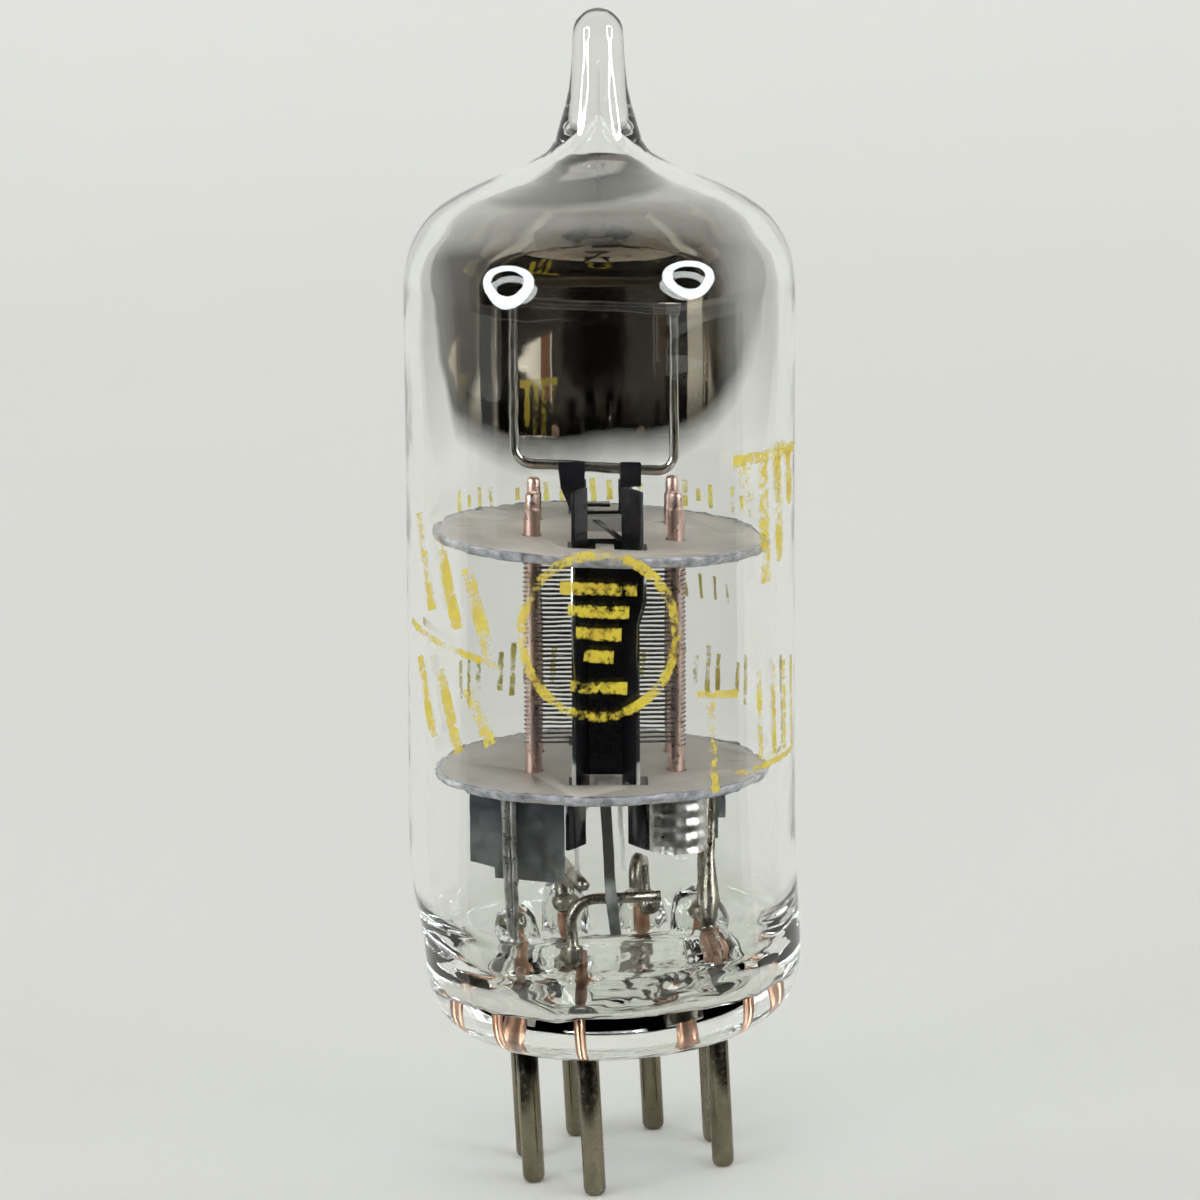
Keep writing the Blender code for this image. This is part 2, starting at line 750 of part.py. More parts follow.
def make_cathode():
    """The flat cathode tube that both halves share, with the folded heater inside it."""
    shape = bmesh.new()
    prism(shape, rounded(cathode_width / 2, cathode_depth / 2), cathode_bottom, cathode_top)
    tube = mesh_object("cathode_sleeve", shape, cage, oxide)
    bore = bmesh.new()
    inside = rounded(cathode_width / 2 - cathode_wall, cathode_depth / 2 - cathode_wall)
    prism(bore, inside, cathode_bottom - cut_overrun, cathode_top + cut_overrun)
    boolean(tube, cutter(mesh_object("cathode_bore", bore, cage)), "DIFFERENCE")
    leg = cathode_width / 2 - cathode_wall - fit_gap - heater_wire_radius
    top = cathode_top - mica_thickness
    route = [
        Vector((heater_left_x, 0, heater_leg_bottom)),
        Vector((heater_left_x, 0, heater_bend)),
        Vector((-leg, 0, cathode_bottom)),
        Vector((-leg, 0, (top + cathode_bottom) / 2)),
        Vector((-leg, 0, top - leg)),
        Vector((0, 0, top)),
        Vector((leg, 0, top - leg)),
        Vector((leg, 0, (top + cathode_bottom) / 2)),
        Vector((leg, 0, cathode_bottom)),
        Vector((heater_right_x, 0, heater_leg_bottom)),
    ]
    wire("heater", smooth_route(route, 3), heater_wire_radius, cage, oxide)


def rounded(half_x, half_y):
    """The outline of a flat tube with half round ends."""
    outline = []
    for side in (1, -1):
        for i in range(tube_end_points + 1):
            angle = side * math.pi / 2 - math.pi / 2 + (i / tube_end_points - 0.5) * math.pi
            outline.append((side * (half_x - half_y) + half_y * math.cos(angle), half_y * math.sin(angle)))
    return outline


def getter_place(x, y, height):
    """A place on the getter, whose bars slope down to the right while its legs stay upright."""
    return Vector((getter_shift_x - cage_shift_x + x, getter_plane + y, height - getter_slope * x))


def make_getter():
    """The getter's wire frame, welded to the rear anode's tabs, with the trough across its top."""
    half = getter_width / 2
    corner = getter_corner
    route = [getter_place(-half, 0, getter_top)]
    for side in (-1, 1):
        bend = []
        for i in range(getter_corner_points + 1):
            angle = i / getter_corner_points * math.pi / 2
            x = half - corner + corner * math.cos(angle)
            bend.append(getter_place(side * x, 0, getter_bottom + corner - corner * math.sin(angle)))
        route.extend(bend if side < 0 else bend[::-1])
    route.append(getter_place(half, 0, getter_top))
    wire("getter_frame", route, getter_wire_radius, cage, nickel)
    width = getter_trough_width / 2
    seat = getter_wire_radius + weld_gap + getter_trough_wall / 2
    section = [(-seat, width), (-seat - width, width / 2), (-seat - width, -width / 2), (-seat, -width)]
    shape = bmesh.new()
    ends = [
        [shape.verts.new(getter_place(side * getter_trough_length / 2, y, getter_top - width + z)) for y, z in section]
        for side in (-1, 1)
    ]
    for i in range(len(section) - 1):
        shape.faces.new((ends[0][i], ends[0][i + 1], ends[1][i + 1], ends[1][i]))
    trough = mesh_object("getter_trough", shape, cage, nickel, smooth=False)
    thicken(trough, getter_trough_wall)


def make_getter_tabs():
    """Two blackened tabs that join the rear anode to the getter frame, and the strap beside them."""
    plane = getter_plane - getter_wire_radius - weld_gap - anode_sheet / 2
    head = getter_bottom + getter_tab_lap
    inner = anode_web_half
    outer = inner + getter_tab_width
    foot = mica_top_height + fit_gap
    heel = foot + (head - foot) * getter_tab_heel_share
    taper = (outer + inner) / 2
    toe = taper - getter_tab_foot
    left = [(-outer, head), (-inner, head), (-inner, heel), (-toe, (heel + foot) / 2), (-toe, foot)]
    left += [(-taper, foot), (-outer + getter_tab_foot, heel)]
    edge = outer - getter_tab_lap
    toe = inner + 2 * getter_tab_foot
    right = [(inner, head), (edge, head), (edge, heel), (toe, heel), (toe, foot), (inner, foot)]
    for name, outline in (("getter_tab_left", left), ("getter_tab_right", right)):
        sheet(name, outline, plane, anode_sheet, cage, carbonised)
    middle = (rear_strap_left + rear_strap_right) / 2
    back = plane + anode_sheet / 2
    outline = rectangle(
        middle, (rear_strap_front + back) / 2, (rear_strap_right - rear_strap_left) / 2, (back - rear_strap_front) / 2
    )
    shape = bmesh.new()
    prism(shape, outline, rear_strap_height, rear_strap_height + strap_thickness)
    mesh_object("rear_strap", shape, cage, carbonised, smooth=False)


def sheet(name, outline, plane, thickness, parent, finish):
    """A flat sheet standing across the tube, from an outline of (x, height) pairs."""
    shape = bmesh.new()
    front = [shape.verts.new((x, plane - thickness / 2, z)) for x, z in outline]
    back = [shape.verts.new((x, plane + thickness / 2, z)) for x, z in outline]
    count = len(outline)
    shape.faces.new(front)
    shape.faces.new(back[::-1])
    for i in range(count):
        j = (i + 1) % count
        shape.faces.new((front[j], front[i], back[i], back[j]))
    return mesh_object(name, shape, parent, finish, smooth=False)


def bead_place(index):
    """The middle of a weld bead, which sits a little to one side on its seal wire."""
    place = pin_place(index)
    return Vector((place.x + bead_radius * bead_side_shares[index], place.y, bead_heights[index]))


def lead(name, index, route, radius, finish):
    """A lead wire with the bead that welds it to its seal wire."""
    foot = bead_place(index)
    made = wire(name, smooth_route([foot, *route], 3), radius, None, finish)
    ball = bmesh.new()
    bmesh.ops.create_uvsphere(ball, u_segments=bead_segments, v_segments=bead_rings, radius=bead_radius)
    bead = cutter(mesh_object(name + "_bead", ball))
    bead.location = foot
    boolean(made, bead, "UNION")


def make_leads():
    """The wires that rise from the seal wires to the cage and its heater."""
    under = mica_bottom_underside - fit_gap
    rod = grid_rod_spacing / 2
    bead = 2 * bead_radius
    plate_front = -grid_plane + grid_rod_radius + fit_gap - lead_radius - weld_gap
    x = grid_plate_step_x + grid_plate_step
    route = [
        from_cage(x, plate_front, grid_plate_bottom - grid_plate_step),
        from_cage(x, plate_front, grid_plate_bottom + grid_plate_step),
        from_cage(x, plate_front, under),
    ]
    lead("lead_front_grid", 1, route, lead_radius, nickel)
    route = [
        from_cage(-rod - bead, grid_plane / 2, grid_plate_bottom),
        from_cage(-rod, grid_plane, grid_rod_bottom - lead_radius - weld_gap),
    ]
    lead("lead_rear_grid", 2, route, fine_lead_radius, nickel)
    make_hooks()
    start = bead_place(0)
    turn = cross_lead_turn
    route = [
        Vector((start.x, start.y, (start.z + cross_lead_height) / 2)),
        Vector((start.x, start.y, cross_lead_height - turn)),
        Vector((start.x + turn / 3, start.y, cross_lead_height - turn / 3)),
        Vector((start.x + turn, start.y, cross_lead_height)),
        Vector((0, start.y, cross_lead_height)),
        Vector((cross_lead_end_x, start.y, cross_lead_height)),
    ]
    lead("lead_cathode", 0, route, lead_radius, nickel)
    x = rear_strip_left + rear_strip_width + weld_gap + fine_lead_radius
    route = [
        from_cage(x - fine_lead_radius, -bead_radius, rear_strip_bottom - rear_strip_step),
        from_cage(x, 0, rear_strip_bottom + rear_strip_step),
        from_cage(x, 0, under),
    ]
    lead("lead_front_anode", 6, route, fine_lead_radius, nickel)
    behind = lead_radius + anode_sheet / 2 + weld_gap + fine_lead_radius
    x = rear_strip_left + rear_strip_width / 2
    route = [
        from_cage(x, behind + bead, rear_strip_bottom - rear_strip_step),
        from_cage(x, behind, rear_strip_bottom + rear_strip_step),
        from_cage(x, behind, under),
    ]
    lead("lead_rear_anode", 5, route, fine_lead_radius, nickel)


def make_hooks():
    """The two heater leads: each rises behind and bends forwards, the left one under its heater leg."""
    place = pin_place(3)
    leg = from_cage(heater_left_x, 0, heater_leg_bottom)
    level = leg.z - hook_radius - weld_gap
    route = [
        Vector((place.x, place.y, level - 2 * hook_bend)),
        Vector((place.x, place.y - hook_bend / 3, level - hook_bend)),
        Vector((place.x, place.y - hook_bend, level - hook_bend / 2)),
        Vector((leg.x, leg.y, level)),
        Vector((leg.x - (leg.x - place.x) * hook_left_end / place.y, hook_left_end, level)),
    ]
    lead("lead_heater_left", 3, route, hook_radius, nickel)
    place = pin_place(4)
    leg = from_cage(heater_right_x, 0, heater_leg_bottom)
    beside = leg.x + heater_wire_radius + weld_gap + hook_radius
    top = heater_leg_bottom + hook_right_rise
    route = [
        Vector((place.x + hook_bend / 2, place.y, top - hook_right_drop - hook_bend)),
        Vector((place.x + hook_bend / 2, place.y - hook_bend, top - hook_right_drop)),
        Vector((beside + hook_bend / 2, leg.y + hook_right_drop, top - hook_bend / 2)),
        Vector((beside + hook_bend / 3, leg.y + hook_bend, top)),
        Vector((beside, leg.y, top - hook_bend)),
        Vector((beside, leg.y - hook_bend / 2, top - hook_right_drop)),
    ]
    lead("lead_heater_right", 4, route, hook_radius, nickel)


def make_bottom_sheets():
    """The plates, the clip and the ribbon under the bottom mica."""
    top = mica_bottom_underside - fit_gap
    rod = grid_rod_spacing / 2
    plane = -grid_plane + grid_rod_radius + fit_gap + grid_plate_thickness / 2
    low = grid_plate_bottom
    outline = [
        (grid_plate_left, top),
        (grid_plate_left, low + grid_plate_step + grid_plate_slope),
        (grid_plate_step_x, low + grid_plate_step),
        (grid_plate_step_x, low + grid_plate_slope),
        (grid_plate_right, low),
        (grid_plate_right, top),
    ]
    sheet("grid_plate", outline, plane, grid_plate_thickness, cage, dull_nickel)
    outline = [
        (rear_strip_left, top),
        (rear_strip_left, rear_strip_bottom),
        (rear_strip_left + rear_strip_width, rear_strip_bottom),
        (rear_strip_left + rear_strip_width, top),
    ]
    plane = lead_radius
    sheet("anode_strip_rear", outline, plane, anode_sheet, cage, dull_nickel)
    left = rear_strip_left + rear_strip_width + weld_gap + fit_gap
    plane = fine_lead_radius + weld_gap + anode_sheet / 2
    outline = [
        (left, top),
        (left, rear_strip_bottom),
        (left + rear_strip_width, rear_strip_bottom),
        (left + rear_strip_width, rear_strip_bottom + rear_strip_step),
        (left + 2 * rear_strip_width, rear_strip_bottom + rear_strip_step),
        (left + 2 * rear_strip_width, top),
    ]
    sheet("anode_strip_front", outline, plane, anode_sheet, cage, nickel)
    shape = bmesh.new()
    rows = []
    count = 2 * grid_clip_bead_count
    for level in range(count + 1):
        height = grid_clip_bottom + (top - grid_clip_bottom) * level / count
        radius = grid_clip_radius + grid_clip_bead * (level % 2)
        row = []
        for step in range(clip_points + 1):
            angle = -math.pi / 2 + grid_clip_sweep * (step / clip_points - 0.5)
            x = rod + radius * math.cos(angle)
            y = -grid_plane + radius * math.sin(angle)
            row.append(shape.verts.new((x, y, height)))
        rows.append(row)
    for lower, upper in zip(rows, rows[1:]):
        for step in range(clip_points):
            shape.faces.new((lower[step], lower[step + 1], upper[step + 1], upper[step]))
    thicken(mesh_object("grid_clip", shape, cage, nickel), grid_clip_wall)
    front = bead_place(0).y - lead_radius - weld_gap - ribbon_thickness / 2
    start = from_cage(0, 0, cathode_bottom)
    depth = -cathode_depth / 2 - weld_gap - ribbon_thickness / 2
    route = [
        from_cage(0, depth, top),
        from_cage(0, depth, cathode_bottom - ribbon_width),
        Vector((start.x, front / 2, (cathode_bottom + cross_lead_height) / 2)),
        Vector((start.x, front, cross_lead_height + ribbon_width)),
        Vector((start.x + ribbon_width / 4, front, ribbon_bottom)),
    ]
    way = Vector((1, 0, 0))
    strip("cathode_ribbon", smooth_route(route, 4), way, ribbon_width, ribbon_thickness, None, dull_nickel)
    crossing = mica_top_height + anode_web_rise + fit_gap + strap_thickness
    route = [
        Vector((-strap_width, -cathode_depth / 2 - fit_gap, crossing + strap_thickness)),
        Vector((strap_end_x * strap_cross_share, -anode_web_plane, crossing)),
        Vector((strap_end_x, -anode_web_plane - anode_depth * strap_cross_share, crossing - strap_thickness)),
    ]
    strip("cathode_strap", smooth_route(route, 2), way, strap_width, strap_thickness, cage, dull_nickel)


make_button()
make_pins()
make_bulb()
make_anode("anode_front", -1, anode_post_top, True)
make_anode("anode_rear", 1, anode_rear_post_top, False)
make_micas()
make_grid_rods()
make_winding("grid_front_winding", -grid_plane)
make_winding("grid_rear_winding", grid_plane)
make_cathode()
make_getter()
make_getter_tabs()
make_bottom_sheets()
make_leads()
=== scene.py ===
"""A seven pin miniature twin triode standing on a pale floor, dressed piece by piece as it is put together."""

import math

import bmesh
import bpy
from mathutils import Matrix, Vector, noise


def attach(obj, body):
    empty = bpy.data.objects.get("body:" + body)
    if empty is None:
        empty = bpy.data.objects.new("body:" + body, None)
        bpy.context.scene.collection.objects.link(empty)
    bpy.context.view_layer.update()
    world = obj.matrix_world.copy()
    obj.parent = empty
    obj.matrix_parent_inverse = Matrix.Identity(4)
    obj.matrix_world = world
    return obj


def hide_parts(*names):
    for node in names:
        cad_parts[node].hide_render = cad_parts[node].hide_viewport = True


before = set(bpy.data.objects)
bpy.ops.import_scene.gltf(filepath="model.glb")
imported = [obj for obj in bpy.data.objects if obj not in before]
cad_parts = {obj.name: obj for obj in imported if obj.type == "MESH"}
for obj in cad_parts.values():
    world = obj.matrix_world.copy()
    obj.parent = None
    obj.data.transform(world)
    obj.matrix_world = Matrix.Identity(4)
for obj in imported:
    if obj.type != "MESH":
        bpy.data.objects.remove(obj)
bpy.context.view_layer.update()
mm = 0.001


# Camera: a long lens a quarter of a metre in front of the tube and twelve degrees above it, aimed at half its
# height. It is rolled by three degrees and shifted slightly. Thick glass turns light many times, so the limits on
# turns are raised, all but the one on matt surfaces.
view_distance = 240 * mm
view_rise = math.radians(12.29)
view_roll = math.radians(-3.13)
aim = Vector((0.12 * mm, 0.1 * mm, 28 * mm))
eye = aim + view_distance * Vector((0, -math.cos(view_rise), math.sin(view_rise)))
lens = bpy.data.cameras.new("view")
lens.sensor_width = 36
lens.lens = 158.5
lens.shift_x = -0.0006
lens.shift_y = -0.0223
lens.clip_start = 0.01
camera = bpy.data.objects.new("view", lens)
bpy.context.scene.collection.objects.link(camera)
camera.matrix_world = (
    Matrix.Translation(eye)
    @ (aim - eye).to_track_quat("-Z", "Y").to_matrix().to_4x4()
    @ Matrix.Rotation(view_roll, 4, "Z")
)
bpy.context.scene.camera = camera
bpy.context.scene.view_settings.view_transform = "Standard"
tracing = bpy.context.scene.cycles
tracing.max_bounces = 12
tracing.diffuse_bounces = 2
tracing.transmission_bounces = 10
tracing.glossy_bounces = 8
tracing.transparent_max_bounces = 16


# Backdrop: one sheet of pale, matt card. It lies flat under the tube and is bent up behind it in one soft curve,
# and its colour is painted lighter towards the back, as painted light.
class Wired:
    """A shader value: sums on it add Math nodes."""

    def __init__(self, finish, output):
        self.finish = finish
        self.output = output

    def sum(self, operation, *values):
        return self.finish.node("ShaderNodeMath", {"operation": operation}, *values)

    def __add__(self, other):
        return self.sum("ADD", self, other)

    __radd__ = __add__

    def __sub__(self, other):
        return self.sum("SUBTRACT", self, other)

    def __rsub__(self, other):
        return self.sum("SUBTRACT", other, self)

    def __mul__(self, other):
        return self.sum("MULTIPLY", self, other)

    __rmul__ = __mul__

    def __pow__(self, other):
        return self.sum("POWER", self, other)

    def __gt__(self, other):
        return self.sum("GREATER_THAN", self, other)

    def __lt__(self, other):
        return self.sum("LESS_THAN", self, other)

    def __abs__(self):
        return self.sum("ABSOLUTE", self)

    def most(self, other):
        return self.sum("MAXIMUM", self, other)


class Finish:
    """A surface finish: a Principled shader and the nodes that vary it."""

    def __init__(self, name, colour, roughness=0.5, metallic=0.0, **fixed):
        self.material = bpy.data.materials.new(name)
        self.material.use_nodes = True
        self.nodes = self.material.node_tree.nodes
        self.links = self.material.node_tree.links
        self.shader = self.nodes["Principled BSDF"]
        self.surface = Wired(self, self.shader.outputs[0])
        self.set(base_color=colour, roughness=roughness, metallic=metallic, **fixed)

    def set(self, **values):
        """Set or link sockets of the shader, named in lower case."""
        for name, value in values.items():
            self.feed(self.shader.inputs[name.replace("_", " ").title().replace("Ior", "IOR")], value)

    def feed(self, socket, value):
        """Link a shader value to a socket, or write a plain value or colour into it."""
        if isinstance(value, Wired):
            self.links.new(value.output, socket)
        elif value is not None:
            socket.default_value = (*value, 1) if socket.type == "RGBA" else value

    def node(self, kind, settings, *values, out=0, **named):
        """Any node: its settings first, then its sockets in order or by name."""
        made = self.nodes.new(kind)
        for name, value in settings.items():
            setattr(made, name, value)
        for socket, value in zip(made.inputs, values):
            self.feed(socket, value)
        for name, value in named.items():
            self.feed(made.inputs[name.title()], value)
        return Wired(self, made.outputs[out])

    def show(self, mixed):
        """Show a mix of shaders in place of the Principled one."""
        self.feed(self.nodes["Material Output"].inputs[0], mixed)

    def where(self, scale=(1, 1, 1)):
        """Object coordinates, in millimetres."""
        place = self.node("ShaderNodeTexCoord", {}, out="Object")
        return self.node("ShaderNodeMapping", {}, place, scale=tuple(share / mm for share in scale))

    def along(self, axis):
        """One of the object coordinates, in millimetres."""
        return self.node("ShaderNodeSeparateXYZ", {}, self.where(), out=axis)

    def grain(self, scale, detail=4, rough=0.55, place=None, distortion=0):
        """Noise from 0 to 1 with a given number of cells in a millimetre."""
        return self.node(
            "ShaderNodeTexNoise", {}, place or self.where(), None, scale, detail, rough, 2, 0, 1, distortion
        )

    def spread(self, value, low, high, to_low=0.0, to_high=1.0):
        """Stretch a range of a value over another range, held at its ends."""
        return self.node("ShaderNodeMapRange", {"clamp": True}, value, low, high, to_low, to_high)

    def blend(self, share, first, second):
        """A colour between two others."""
        not_colours = [None] * 5
        return self.node("ShaderNodeMix", {"data_type": "RGBA"}, share, *not_colours, first, second, out=2)

    def bump(self, height, strength, distance):
        """Relief from a height."""
        self.set(normal=self.node("ShaderNodeBump", {}, height=height, strength=strength, distance=distance))


def as_object(name, shape, finish):
    """Turn a bmesh into an object with one finish."""
    mesh = bpy.data.meshes.new(name)
    shape.to_mesh(mesh)
    shape.free()
    mesh.materials.append(finish.material)
    made = bpy.data.objects.new(name, mesh)
    bpy.context.scene.collection.objects.link(made)
    return made


card = Finish("pale card", (0.8, 0.805, 0.78), 0.8, specular_ior_level=0.2)
# Painted light: the card's colour runs from darker at the front to lighter at the back, standing in for light falling
# off.
painted_light_to_back = card.spread(card.along("Y") + (card.grain(0.02) - 0.5) * 60, -20, 380)
card.set(base_color=card.blend(painted_light_to_back, (0.735, 0.74, 0.715), (0.9, 0.91, 0.885)))
card_width, card_front, card_bend, bend_radius, card_top = 3, -1.2, 0.25, 0.35, 1.6
shape = bmesh.new()
side_line = [(card_front, 0), (card_bend, 0)]
for step in range(1, 13):
    angle = step / 12 * math.pi / 2
    side_line.append((card_bend + bend_radius * math.sin(angle), bend_radius * (1 - math.cos(angle))))
side_line.append((card_bend + bend_radius, card_top))
rim = [shape.verts.new((-card_width / 2, depth, level)) for depth, level in side_line]
edges = [shape.edges.new(pair) for pair in zip(rim, rim[1:])]
swept = bmesh.ops.extrude_edge_only(shape, edges=edges)["geom"]
moved = [corner for corner in swept if isinstance(corner, bmesh.types.BMVert)]
bmesh.ops.translate(shape, vec=(card_width, 0, 0), verts=moved)
backdrop = as_object("backdrop", shape, card)
backdrop.data.shade_smooth()


# Lamps: two ring lamps in front of the tube, one at each side and a little above its shoulder. Mirror-like surfaces
# show the rings, and a soft round light behind each ring lights the matt ones.
shoulder = Vector((0, -7 * mm, 42 * mm))
lamp_turn, lamp_rise = math.radians(57.5), math.radians(17)
ring_reach, soft_reach = 300 * mm, 330 * mm
ring_radius, tube_radius = 72 * mm, 17 * mm
glow = Finish("lamp glow", (0, 0, 0), emission_strength=30)
facing = glow.node("ShaderNodeLayerWeight", {}, 0.5, out="Facing")
glow.set(emission_color=glow.blend(facing, (0.93, 0.97, 1), (0.2, 0.27, 0.42)))
for name, side in (("left", -1), ("right", 1)):
    way = Vector(
        (
            side * math.sin(lamp_turn) * math.cos(lamp_rise),
            -math.cos(lamp_turn) * math.cos(lamp_rise),
            math.sin(lamp_rise),
        )
    )
    turned_to_tube = way.to_track_quat("Z", "Y").to_matrix().to_4x4()
    shape = bmesh.new()
    section = Matrix.Translation((ring_radius, 0, 0)) @ Matrix.Rotation(math.pi / 2, 4, "X")
    bmesh.ops.create_circle(shape, segments=12, radius=tube_radius, matrix=section)
    bmesh.ops.spin(
        shape, geom=shape.edges[:], cent=(0, 0, 0), axis=(0, 0, 1), angle=2 * math.pi, steps=48, use_merge=True
    )
    shape.transform(Matrix.Translation(shoulder + way * ring_reach) @ turned_to_tube)
    lamp = as_object("ring_lamp_" + name, shape, glow)
    lamp.visible_camera = lamp.visible_diffuse = False
    soft = bpy.data.lights.new("soft_light_" + name, "AREA")
    soft.shape = "DISK"
    soft.size = 220 * mm
    soft.energy = 0.42
    softbox = bpy.data.objects.new("soft_light_" + name, soft)
    bpy.context.scene.collection.objects.link(softbox)
    softbox.matrix_world = Matrix.Translation(shoulder + way * soft_reach) @ turned_to_tube
    softbox.visible_camera = softbox.visible_glossy = softbox.visible_transmission = False


# Room: pale all round, but dark about the camera and along the table in front of the tube, where black cloth and a
# brown board lie. Only mirror-like surfaces show the dark parts.
def mirrored(finish):
    """Pick the rays that one mirror-like surface has turned, and part of those that thick glass keeps turning."""
    turns = finish.node("ShaderNodeLightPath", {}, out="Glossy Depth")
    passes = finish.node("ShaderNodeLightPath", {}, out="Transmission Depth")
    once = (turns > 0.5) * (turns < 1.5)
    return once + (turns > 1.5) * (0.35 + (passes > 3.5) * 0.55)


def shown_in_mirrors(name, shape, finish, share):
    """Put up a dark thing that only the picked rays meet."""
    clear = finish.node("ShaderNodeBsdfTransparent", {})
    finish.show(finish.node("ShaderNodeMixShader", {}, share, clear, finish.surface))
    made = as_object(name, shape, finish)
    made.visible_camera = made.visible_shadow = made.visible_diffuse = False


cloth_level = 0.4 * mm
for name, colour, start, stop, near, far in (
    ("near_cloth", (0.003, 0.003, 0.003), -90, 90, 14 * mm, 290 * mm),
    ("dark_cloth", (0.003, 0.003, 0.003), -63, 32, 290 * mm, 1.19),
    ("brown_board", (0.16, 0.07, 0.035), 33, 40, 290 * mm, 1.19),
):
    cloth = Finish(name, colour, 1, specular_ior_level=0)
    shape = bmesh.new()
    ends = [shape.verts.new((0, -reach, cloth_level)) for reach in (near, far)]
    edge = shape.edges.new(ends)
    bmesh.ops.rotate(shape, verts=ends, cent=(0, 0, 0), matrix=Matrix.Rotation(math.radians(start), 3, "Z"))
    swing = math.radians(stop - start)
    bmesh.ops.spin(shape, geom=[*ends, edge], cent=(0, 0, 0), axis=(0, 0, 1), angle=swing, steps=24)
    shown_in_mirrors(name, shape, cloth, mirrored(cloth))
dark = Finish("dark hall", (0.004, 0.004, 0.004), 1, specular_ior_level=0)
metres = dark.node("ShaderNodeTexCoord", {}, out="Object")
ahead = dark.node("ShaderNodeVectorMath", {"operation": "DOT_PRODUCT"}, metres, (0, -0.7, 0.14), out="Value")
shape = bmesh.new()
bmesh.ops.create_uvsphere(shape, u_segments=48, v_segments=24, radius=1.4)
whole = [*shape.verts, *shape.edges, *shape.faces]
bmesh.ops.bisect_plane(shape, geom=whole, plane_co=(0, 0, -0.08), plane_no=(0, 0, -1), clear_outer=True)
shown_in_mirrors("dark_hall", shape, dark, mirrored(dark) * dark.spread(ahead, 0.12, 0.26))
room = bpy.data.worlds.new("room")
bpy.context.scene.world = room
room.use_nodes = True
daylight = room.node_tree.nodes["Background"]
daylight.inputs["Color"].default_value = (1, 1, 0.98, 1)
daylight.inputs["Strength"].default_value = 0.84


# Glass: the blown bulb and the pressed button, fused into one piece of clear glass at the seal. The tip was drawn
# off and left solid but for a hair-thin bore. The bulb was sealed on a little out of line, and glass has crept up
# round each lead.
lean_pivot = Vector((0.12 * mm, 0.1 * mm, 28 * mm))
bulb_frame = (
    Matrix.Translation(lean_pivot)
    @ Matrix.Rotation(math.radians(2.8), 4, "Y")
    @ Matrix.Rotation(math.radians(-2.2), 4, "X")
    @ Matrix.Translation(-lean_pivot.z * Vector((0, 0, 1)))
)
button_frame = Matrix.Translation((-0.25 * mm, 0.1 * mm, 0))
pin_circle = 4.7625 * mm
pin_spots = []
for index in range(7):
    turn = math.radians(17.5 + 45 * index)
    pin_spots.append(button_frame @ Vector((-pin_circle * math.sin(turn), -pin_circle * math.cos(turn), 0)))


def seal_blend(point):
    """Carry a point of the glass from the upright button's frame over to the leaning bulb's."""
    share = min(max((point.z - 10.5 * mm) / (6 * mm), 0), 1)
    share = share * share * (3 - 2 * share)
    return (button_frame @ point).lerp(bulb_frame @ point, share)


def turned(shape, profile, steps):
    """Spin a line of (radius, height) points, in millimetres, about the tube's axis."""
    points = [shape.verts.new((radius * mm, 0, height * mm)) for radius, height in profile]
    edges = [shape.edges.new(pair) for pair in zip(points, points[1:])]
    bmesh.ops.spin(
        shape, geom=points + edges, cent=(0, 0, 0), axis=(0, 0, 1), angle=2 * math.pi, steps=steps, use_merge=True
    )
    bmesh.ops.remove_doubles(shape, verts=shape.verts, dist=0.001 * mm)
    bmesh.ops.recalc_face_normals(shape, faces=shape.faces)


def set_down(name, shape, finish, slot, *nodes, place=None, crease=40):
    """Make a bmesh one piece of the tube that stands for its solids."""
    if place:
        shape.transform(place)
    piece = as_object(name, shape, finish)
    piece.data.shade_smooth()
    piece.data.set_sharp_from_angle(angle=math.radians(crease))
    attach(piece, "root")
    if nodes:
        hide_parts(*nodes)


def merge_into(whole, part):
    """Add one bmesh to another."""
    mesh = bpy.data.meshes.new("part")
    part.to_mesh(mesh)
    part.free()
    whole.from_mesh(mesh)
    bpy.data.meshes.remove(mesh)


def smooth_line(points, spans):
    """Read a smooth curve through (radius, height) points."""
    ends = [points[0], *points, points[-1]]
    line = []
    for a, b, c, d in zip(ends, ends[1:], ends[2:], ends[3:]):
        for i in range(spans):
            t = i / spans
            line.append(
                tuple(
                    0.5 * (2 * q + (r - p) * t + (2 * p - 5 * q + 4 * r - s) * t * t + (3 * q - p - 3 * r + s) * t**3)
                    for p, q, r, s in zip(a, b, c, d)
                )
            )
    return [*line, points[-1]]


outside = [(0, 53.62), (0.45, 53.52), (0.84, 53.22), (1.1, 52.75), (1.17, 51.5), (1.32, 50), (1.66, 48.7), (1.98, 47.7)]
outside += [(2.36, 47.15), (3.1, 46.75), (4.05, 46.32), (5.05, 45.87), (6.1, 45.38), (7.05, 44.83), (7.75, 44.2)]
outside += [(8.25, 43.46), (8.57, 42.7), (8.74, 41.9), (8.81, 41.0), (8.82, 39.5), (8.8, 36), (8.8, 28), (8.82, 20)]
outside += [(8.84, 14.6), (8.76, 13), (8.68, 12), (8.66, 10.8), (8.6, 9.6), (8.35, 8.6), (7.85, 7.8), (7.1, 7.2)]
outside += [(6.5, 6.93), (6.1, 6.86), (5.85, 6.98), (5.55, 7.14), (4.2, 7.15), (3.95, 7.05), (3.6, 7.0), (0, 7.0)]
bore = [(0, 51.3), (0.05, 51.1), (0.06, 49.2), (0.12, 48.6), (0.42, 48.2), (0.85, 47.6)]
dome = [(1.35, 46.95), (2.1, 46.35), (3.15, 45.84), (4.35, 45.34), (5.5, 44.82), (6.45, 44.25), (7.15, 43.6)]
dome += [(7.65, 42.9), (7.95, 42.15), (8.08, 41.4), (8.1, 40.6), (8.1, 39.8), (8.1, 38.8), (8.1, 37.6)]
dome += [(8.03, 34), (8.0, 31)]
wall = [(7.98, 28), (8.0, 20), (8.0, 15), (8.0, 14), (7.95, 13.2), (7.78, 12.5), (7.66, 11.9)]
